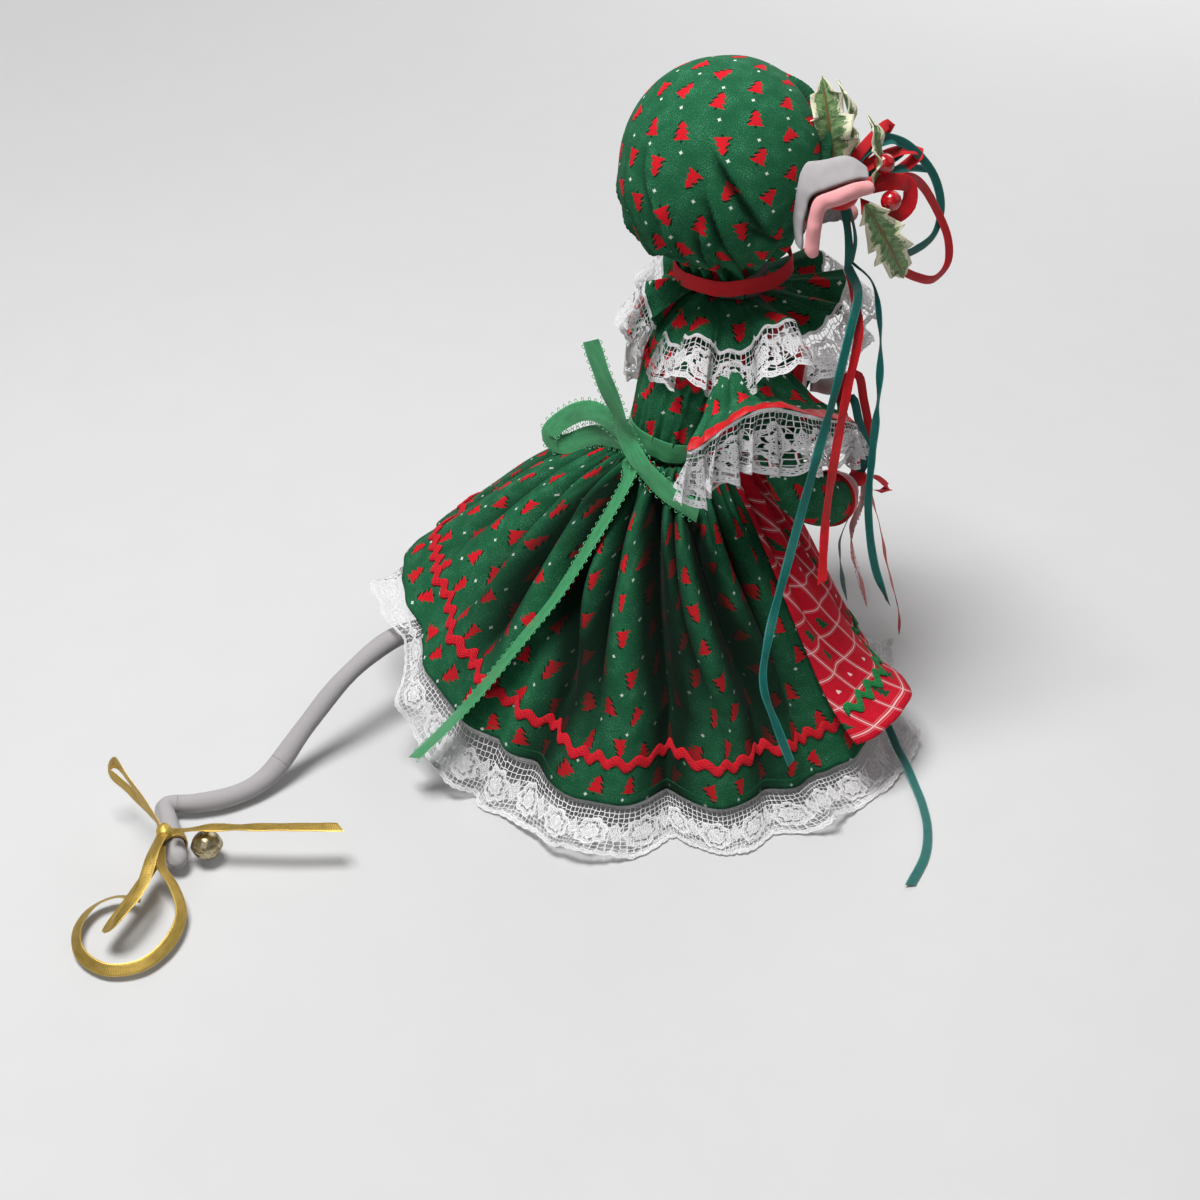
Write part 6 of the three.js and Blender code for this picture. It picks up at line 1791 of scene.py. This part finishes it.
# Each bow has its body, its slot, its finishes, its knot's middle and half sizes, and its strips:
# where a strip runs, its flat side, its width and which finish it has
BOWS = {
    "sash_bow": (
        "doll", "green_picot_ribbon", ("green_picot_satin", "red_satin", "teal_satin"),
        (-2, 8.4, 103.2), (3.4, 2.2, 3.4), (
            (((6, 19, 139), (0, 17, 127), (-4, 13.5, 115), (-6.5, 11.2, 106), (-14, 10, 100.5),
              (-23, 6.5, 95.5), (-34, -2, 89)), (-0.35, 1, 0.4), 7, 0),
            (((8, 12, 107), (17, 15, 106), (25, 20, 100), (29, 25, 92), (25, 22, 90),
              (15, 14, 97), (2, 9, 101)), (-0.35, 1, 0.25), 7, 0),
            (((10, 9, 102), (20, 5, 96), (31, -2, 88)), OVER_HIP, 3, 1),
            (((10, 9, 99), (21, 9, 92), (30, 12, 83)), OVER_HIP, 3, 2))),
    "hand_bow": (
        "right_arm", "red_satin", ("red_satin", "teal_satin"),
        (-22.5, -71.4, 78.5), (3.4, 3.4, 3), (
            (((-29, -74, 82), (-35, -76, 80), (-30, -75, 76)), ACROSS_HAND, 5, 0),
            (((-16, -75, 81), (-10, -78, 79), (-15, -76, 75.5)), ACROSS_HAND, 5, 0),
            (((-24, -74, 92), (-21, -72, 109), (-20, -69, 119), (-18, -64, 116),
              (-20, -66, 100)), UP_WRIST, 3, 0),
            (((-26, -72, 90), (-25, -68, 104), (-23, -66, 112), (-20, -64, 108),
              (-21, -68, 92)), (-0.9, 0.3, 0.2), 3, 1))),
    "gold_bow": (
        "tail_end_body", "gold_ribbon", ("gold_weave",), (-24.5, 186.8, 11.2), (2.9, 2.6, 2.9), (
            (((-16, 190, 17.5), (-7, 192.5, 21.5), (2, 195, 23.5), (3, 197, 20), (-6, 193, 17),
              (-17, 188.5, 13)), (0.2, 1, 0.3), 4, 0),
            (((-36, 193, 14), (-50, 200.5, 14), (-60, 211, 12.5), (-59, 214, 9),
              (-49, 205, 8.5), (-35, 193, 8)), (0.1, 0.2, 1), 4, 0))),
    "corsage_bow": (
        "head_body", "red_satin", ("red_picot_satin", "red_satin", "teal_satin"),
        (-25.8, -53.4, 190.4), (6, 6, 5.6), (
            (((-29, -54, 183), (-33.5, -53, 176), (-34.6, -52.8, 168.5)), UP_HEAD, 3, 2),
            (((-28, -55, 182), (-32, -54.2, 175), (-33, -53.7, 167.3)), UP_HEAD, 3, 1),
            (((-27, -57, 183), (-31, -57, 176), (-32.3, -55.6, 168.7)), (-0.8, -0.6, 0.1), 3, 2),
            (((-31, -60, 193.5), (-33.5, -68, 194.5), (-32, -75, 191), (-34, -74, 186),
              (-35, -67, 183.5), (-31, -58, 187)), (-0.8, 0.1, 0.5), 5.4, 0),
            (((-24, -59, 200), (-22, -70, 208), (-21, -73, 208), (-21, -66, 201),
              (-23, -57, 195)), (-0.8, 0.4, 0.3), 3.4, 1),
            (((-23, -62, 201), (-22, -73, 203.5), (-21, -78, 199), (-22, -72, 196),
              (-24, -60, 192)), AT_TEMPLE, 4, 2),
            (((-24, -62, 196), (-22, -77, 199), (-21, -85, 196.5), (-22, -79, 193),
              (-25, -62, 190)), AT_TEMPLE, 4, 1),
            (((-25, -63, 191), (-23, -78, 193), (-21, -88, 190.5)), AT_TEMPLE, 3.4, 2))),
}
FAR_FROM_KNOT = 30
PICOT_WIDTH = 6
TAIL_WRAP = Vector((-24, 184.5, 5.2))


class DOLL_OT_bows(bpy.types.Operator):
    """Tie the bows at the head, the hand, the waist and the tail"""

    bl_idname = "doll.bows"
    bl_label = "Bows"

    def execute(self, context):
        for name, (body, slot, finishes, knot, radii, strips) in BOWS.items():
            cut = Cut()
            cut.ball(Vector(knot), radii)
            for places, facing, width, kind in strips:
                near = math.dist(knot, places[0]) < FAR_FROM_KNOT
                route = [knot, *places] if near else places
                count = max(int(smooth_line(route, 20)[1] / 1.3), 14)
                cut.ribbon(route, facing, width, count, kind=kind, camber=0.03, ripple=0.3, cut=0.3)
                if width > PICOT_WIDTH:
                    cut.picots(route, facing, width, count, kind=kind)
            if name == "gold_bow":
                rings = []
                for step in range(33):
                    spoke = Vector((0, wave(step * 11.25), wave(step * 11.25 + 90)))
                    rings.append([
                        TAIL_WRAP + spoke * radius + Vector((x, 0, 0))
                        for radius, x in ((3.9, 2), (4.5, 2), (4.7, 0), (4.5, -2), (3.9, -2))])
                cut.tube(rings, lambda side, span: (side, 0.9 * span), capped=False)
            piece = cut.make(name + "_loops", *[bpy.data.materials[finish] for finish in finishes])
            sharpen(piece, 55)
            fit(piece, body, slot, name)
        return {"FINISHED"}


# Holly, eyes and bell

# Each leaf has its stalk, its tip, its upper side, its half width and a number for its ripple.
LEAVES = {
    "holly_leaf_upper": ((-22.6, -52.2, 195), (-16.5, -49.5, 226), (-0.85, 0.35, 0.4), 8.8, 0.0),
    "holly_leaf_middle": ((-31, -61.5, 191), (-28.5, -59.5, 216), (-0.75, -0.6, 0.1), 5.2, 2.0),
    "holly_leaf_lower": ((-37, -56, 190.5), (-36.5, -73, 161.5), (-0.9, 0.3, 0.35), 7.8, 1.0),
    "holly_leaf_front": ((-23, -57, 195), (-13.5, -57, 223), (-0.5, -0.75, 0.3), 5.6, 3.0),
}


def leaf_point(leaf, across, along):
    """A point on a spiky leaf, from its stalk at 0 to its tip at 1."""
    base, tip, facing = (Vector(part) for part in leaf[:3])
    width, seed = leaf[3:]
    run = tip - base
    normal = (facing - run * (facing.dot(run) / run.length_squared)).normalized()
    side = run.normalized().cross(normal)
    body = max(math.sin(math.pi * min(along + 0.02, 1) ** 0.9), 0) ** 0.62
    spike = (along * 4.3 + 0.35 + 0.06 * across) % 1
    half = max(width * body * (0.62 + 0.38 * spike ** 1.6), 0.3)
    ripple = 1.5 * math.sin(along * 15 + seed + across) * across ** 2 + 0.25 * width * abs(across)
    bow = 2.6 * math.sin(math.pi * along)
    return base + run * along + side * (half * across) + normal * (ripple * body + bow)


def leaf_finish(name):
    """A stiff cloth leaf: green centre, cream edge, pale veins and a brown midrib."""
    bench = Finish(name, coat=0.15)
    across, along = bench.flat_place()
    wide = abs(across)
    torn = bench.noise(bench.vector(across, along), 0.55, 3.0, 0.7) * 9.0 - 4.5
    mottle = bench.noise(bench.vector(across * 0.8, along), 0.5)
    slant = (along * 2.1 - wide * 0.75).sine()
    vein = slant.step(0.9, 1.0) * wide.step(0.8, 1.6)
    rib = wide.fall(0.45, 0.8)
    ink = bench.mix(mottle.step(0.35, 0.65), [0.075, 0.17, 0.06, 1], [0.2, 0.33, 0.12, 1])
    ink = bench.mix(vein * 0.5, ink, [0.42, 0.5, 0.3, 1])
    ink = bench.mix((wide + torn).step(5.2, 5.8), ink, [0.72, 0.7, 0.5, 1])
    ink = bench.mix(rib, ink, [0.18, 0.12, 0.03, 1])
    return bench.done(ink, mottle * 0.2 + 0.45, vein * 0.5 + rib + mottle * 0.3, 0.6, 0.3)


def glossy_finish(name, tint, tip_tint, tip, reach, metal=0.0, roughness=0.15):
    """Lacquer or metal with faint blotches, and another colour within a reach of a tip."""
    bench = Finish(name, coat=0.0 if metal else 0.8, metal=metal)
    place = bench.solid_place()
    away = bench.node("ShaderNodeVectorMath", {"operation": "DISTANCE"}, Vector=place)
    away.inputs[1].default_value = tip
    blotch = bench.noise(place, 0.9, 3.0, 0.6)
    edge = Signal(bench, away.outputs["Value"]) + (blotch * 1.4 - 0.7)
    body = mottled(bench, blotch.step(0.35, 0.65), tint, 0.55)
    ink = bench.mix(edge.fall(reach, reach + 0.3), body, dimmed(tip_tint))
    return bench.done(ink, blotch * 0.2 + roughness, blotch, 0.3, 0.15)


def round_piece(name, centre, radius, finish, segments=32, dimple=None):
    """A ball of its own, with a small dimple pushed in at its tip if it has a way to face."""
    bpy.ops.object.select_all(action="DESELECT")
    bpy.ops.mesh.primitive_uv_sphere_add(
        segments=segments, ring_count=segments // 2, radius=radius * MM, location=Vector(centre) * MM)
    piece = bpy.context.active_object
    piece.name = name
    bpy.ops.object.transform_apply(location=True, rotation=True, scale=True)
    if dimple:
        tip = (Vector(centre) + Vector(dimple).normalized() * radius) * MM
        for point in piece.data.vertices:
            point.select = (point.co - tip).length < radius * 0.35 * MM
        bpy.ops.object.mode_set(mode="EDIT")
        bpy.ops.transform.translate(value=Vector(dimple).normalized() * (-0.12 * radius * MM))
        bpy.ops.object.mode_set(mode="OBJECT")
    bpy.ops.object.shade_smooth()
    piece.data.materials.append(finish)
    return piece


BERRY_RADIUS = 3.3
BERRIES = {
    "berry_upper": ((-31.5, -65.5, 200.3), (0.1, -0.9, 0.25)),
    "berry_lower": ((-36.5, -66, 189.5), (-0.35, -0.9, -0.1)),
}


class DOLL_OT_holly(bpy.types.Operator):
    """Cut the holly leaves and set the berries and the eyes"""

    bl_idname = "doll.holly"
    bl_label = "Holly and Eyes"

    def execute(self, context):
        finish = leaf_finish("holly_cloth")
        for name, leaf in LEAVES.items():
            cut = Cut()
            cut.grid(
                lambda column, row: leaf_point(leaf, column / 8 - 1, row / 60),
                lambda column, row: (column - 8, row * 0.55), 16, 60)
            piece = cut.make(name + "_cloth", finish)
            thicken(piece, 0.45, 0)
            fit(piece, "head_body", "holly_leaf", name)
        for name, (centre, way) in BERRIES.items():
            tip = Vector(centre) + Vector(way).normalized() * BERRY_RADIUS
            red, black = (0.55, 0.004, 0.01), (0.012, 0.008, 0.008)
            skin = glossy_finish(name + "_skin", red, black, tip, 1.15)
            piece = round_piece(name + "_ball", centre, BERRY_RADIUS, skin, dimple=way)
            fit(piece, "head_body", "holly_berry", name)
        for prefix, side in (("right", -1), ("left", 1)):
            lean = math.radians(48)
            outward = BROW * math.cos(lean) + SIDE * (side * math.sin(lean))
            centre = HEAD + SNOUT * 32 + outward * (face_radius(32) + 0.3)
            glass = glossy_finish(
                prefix + "_eye_glass", (0.012, 0.01, 0.01), (0.03, 0.015, 0.01), centre, 1.0,
                roughness=0.05)
            piece = round_piece(prefix + "_eye_bead", centre, 3, glass)
            fit(piece, "head_body", "black_bead", prefix + "_eye")
        return {"FINISHED"}


BELL_CENTRE = Vector((-31.5, 175, 6.6))


class DOLL_OT_bell(bpy.types.Operator):
    """Press the bell with its crossed slots, and finish the pellet, the base and the neck pin"""

    bl_idname = "doll.bell"
    bl_label = "Bell, Base and Pin"

    def execute(self, context):
        bottom = BELL_CENTRE - Vector((0, 0, 5))
        brass = glossy_finish(
            "tarnished_brass", (0.62, 0.52, 0.33), (0.2, 0.15, 0.08), bottom, 2.4, metal=0.9,
            roughness=0.22)
        shell = round_piece("bell_shell", BELL_CENTRE, 5, brass, segments=48)
        thicken(shell, 0.8)
        for size in ((7.8, 1.1, 5), (1.1, 7.8, 5)):
            bpy.ops.mesh.primitive_cube_add(size=MM, location=bottom * MM, scale=size)
            cutter = bpy.context.active_object
            only(shell)
            bpy.ops.object.modifier_add(type="BOOLEAN")
            shell.modifiers[-1].object = cutter
            bpy.ops.object.modifier_apply(modifier=shell.modifiers[-1].name)
            bpy.data.objects.remove(cutter)
        bpy.ops.object.select_all(action="DESELECT")
        seam_and_loop = (
            (4.95, 0.32, BELL_CENTRE, 0), (0.95, 0.4, BELL_CENTRE + Vector((0, 0, 5.85)), 90))
        for major, minor, place, turn in seam_and_loop:
            bpy.ops.mesh.primitive_torus_add(
                major_radius=major * MM, minor_radius=minor * MM, major_segments=48,
                minor_segments=10, location=place * MM, rotation=(0, math.radians(turn), 0))
            bpy.ops.object.transform_apply(location=True, rotation=True, scale=True)
            hoop = bpy.context.active_object
            hoop.data.materials.append(brass)
            only(hoop)
            shell.select_set(True)
            bpy.context.view_layer.objects.active = shell
            bpy.ops.object.join()
        sharpen(shell, 35)
        fit(shell, "bell_body", "bell_metal", "jingle_bell")
        cut = Cut()
        rings = []
        for row in range(25):
            fall = 1.06 - row / 24 * 1.04
            spread = 14 + 34 * fall ** 0.9 - 6 * smoothstep(fall, 0.98, 1.08)
            height, centre = SKIRT_TOP - 87.6 * fall, lerp(WAIST_Y, HEM_Y, fall)
            rings.append([
                around(-8 * side, spread + 0.5 * wave(64 * side + 90 * fall), height, centre)
                for side in range(45)])
        cut.tube(rings, lambda side, span: (side * 22, span * 4))
        stuffed = cut.make("lower_body_stuffing", printed_cotton("body_cotton", girth=250))
        fit(stuffed, "doll", "cotton_print", "lower_body")
        carried = {
            "bell_pellet": brass,
            "base_board": board_finish("base_fibreboard", (0.3, 0.2, 0.11), (1, 1, 9), 0.5),
            "neck_dowel": board_finish("dowel_wood", (0.55, 0.38, 0.2), (4, 4, 0.25), 0.6),
        }
        for name, finish in carried.items():
            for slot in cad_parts[name].material_slots:
                slot.material = finish
        return {"FINISHED"}


# Stage

class DOLL_OT_stage(bpy.types.Operator):
    """Set the pale floor, the soft lights and the camera"""

    bl_idname = "doll.stage"
    bl_label = "Stage"

    def execute(self, context):
        camera_data = bpy.data.cameras.new("view")
        camera_data.lens = 60
        camera_data.sensor_width = 36
        camera_data.clip_start = 0.01
        camera = bpy.data.objects.new("view", camera_data)
        camera.location = (-0.5299, 0.2655, 0.4475)
        camera.rotation_euler = (math.radians(55), 0, math.radians(245))
        context.scene.collection.objects.link(camera)
        context.scene.camera = camera
        bpy.ops.mesh.primitive_plane_add(size=12, location=(0, 0, 0))
        floor = context.active_object
        floor.name = "floor"
        bench = Finish("floor_paper")
        place = bench.signals("ShaderNodeTexCoord")["Object"]
        length = {"operation": "LENGTH"}
        away = bench.signals("ShaderNodeVectorMath", length, Vector=place)["Value"]
        pale = bench.mix(bench.noise(place, 40.0), [0.52, 0.52, 0.52, 1], [0.54, 0.54, 0.54, 1])
        bench.feed(bench.inputs["Base Color"], pale)
        bench.inputs["Roughness"].default_value = 0.8
        seen = bench.signals("ShaderNodeLightPath")["Is Camera Ray"]
        bench.feed(bench.inputs["Emission Strength"], seen * away.step(0.2, 2.2, 0.05, 0.6))
        bench.inputs["Emission Color"].default_value = (1, 1, 1, 1)
        floor.data.materials.append(bench.material)
        world = bpy.data.worlds.new("studio")
        context.scene.world = world
        world.use_nodes = True
        sky = Bench(world.node_tree)
        background = world.node_tree.nodes["Background"]
        background.inputs["Color"].default_value = (0.95, 0.97, 1, 1)
        seen = sky.signals("ShaderNodeLightPath")["Is Camera Ray"]
        sky.feed(background.inputs["Strength"], seen * 0.65 + 0.07)
        lights = (
            ("ceiling_light", (0.02, 0.3, 1.25), 0.5, 20.0),
            ("window_light", (-0.75, 0.75, 0.7), 0.8, 1.6),
            ("side_light", (-0.5, -0.9, 0.8), 0.9, 1.0),
            ("front_light", (0.75, -0.85, 0.6), 0.9, 5.0),
        )
        for name, place, size, power in lights:
            lamp_data = bpy.data.lights.new(name, "AREA")
            lamp_data.size = size
            lamp_data.energy = power
            lamp = bpy.data.objects.new(name, lamp_data)
            lamp.location = place
            aim = Vector((0, 0.02, 0.1)) - Vector(place)
            lamp.rotation_euler = aim.to_track_quat("-Z", "Y").to_euler()
            context.scene.collection.objects.link(lamp)
        context.scene.view_settings.view_transform = "Standard"
        return {"FINISHED"}


class DOLL_PT_panel(bpy.types.Panel):
    """The doll's pieces and sizes."""

    bl_label = "Doll"
    bl_idname = "DOLL_PT_panel"
    bl_space_type = "VIEW_3D"
    bl_region_type = "UI"
    bl_category = "Doll"

    def draw(self, context):
        layout = self.layout
        for step in STEPS:
            layout.operator(step.bl_idname)
        for group in (sizes(), colours()):
            for name in group.__annotations__:
                layout.prop(group, name)


STEPS = (
    DOLL_OT_stage, DOLL_OT_ribbons, DOLL_OT_skirt, DOLL_OT_petticoat, DOLL_OT_apron, DOLL_OT_bodice,
    DOLL_OT_head, DOLL_OT_ears, DOLL_OT_arms, DOLL_OT_tail, DOLL_OT_bows, DOLL_OT_holly, DOLL_OT_bell,
)
CLASSES = (DollSizes, DollColours, *STEPS, DOLL_PT_panel)


def register():
    for kind in CLASSES:
        bpy.utils.register_class(kind)
    bpy.types.Scene.doll_sizes = PointerProperty(type=DollSizes)
    bpy.types.Scene.doll_colours = PointerProperty(type=DollColours)


def unregister():
    del bpy.types.Scene.doll_colours
    del bpy.types.Scene.doll_sizes
    for kind in reversed(CLASSES):
        bpy.utils.unregister_class(kind)


def main():
    register()
    make_groups()
    for step in STEPS:
        group, name = step.bl_idname.split(".")
        getattr(getattr(bpy.ops, group), name)()


if __name__ == "__main__":
    main()
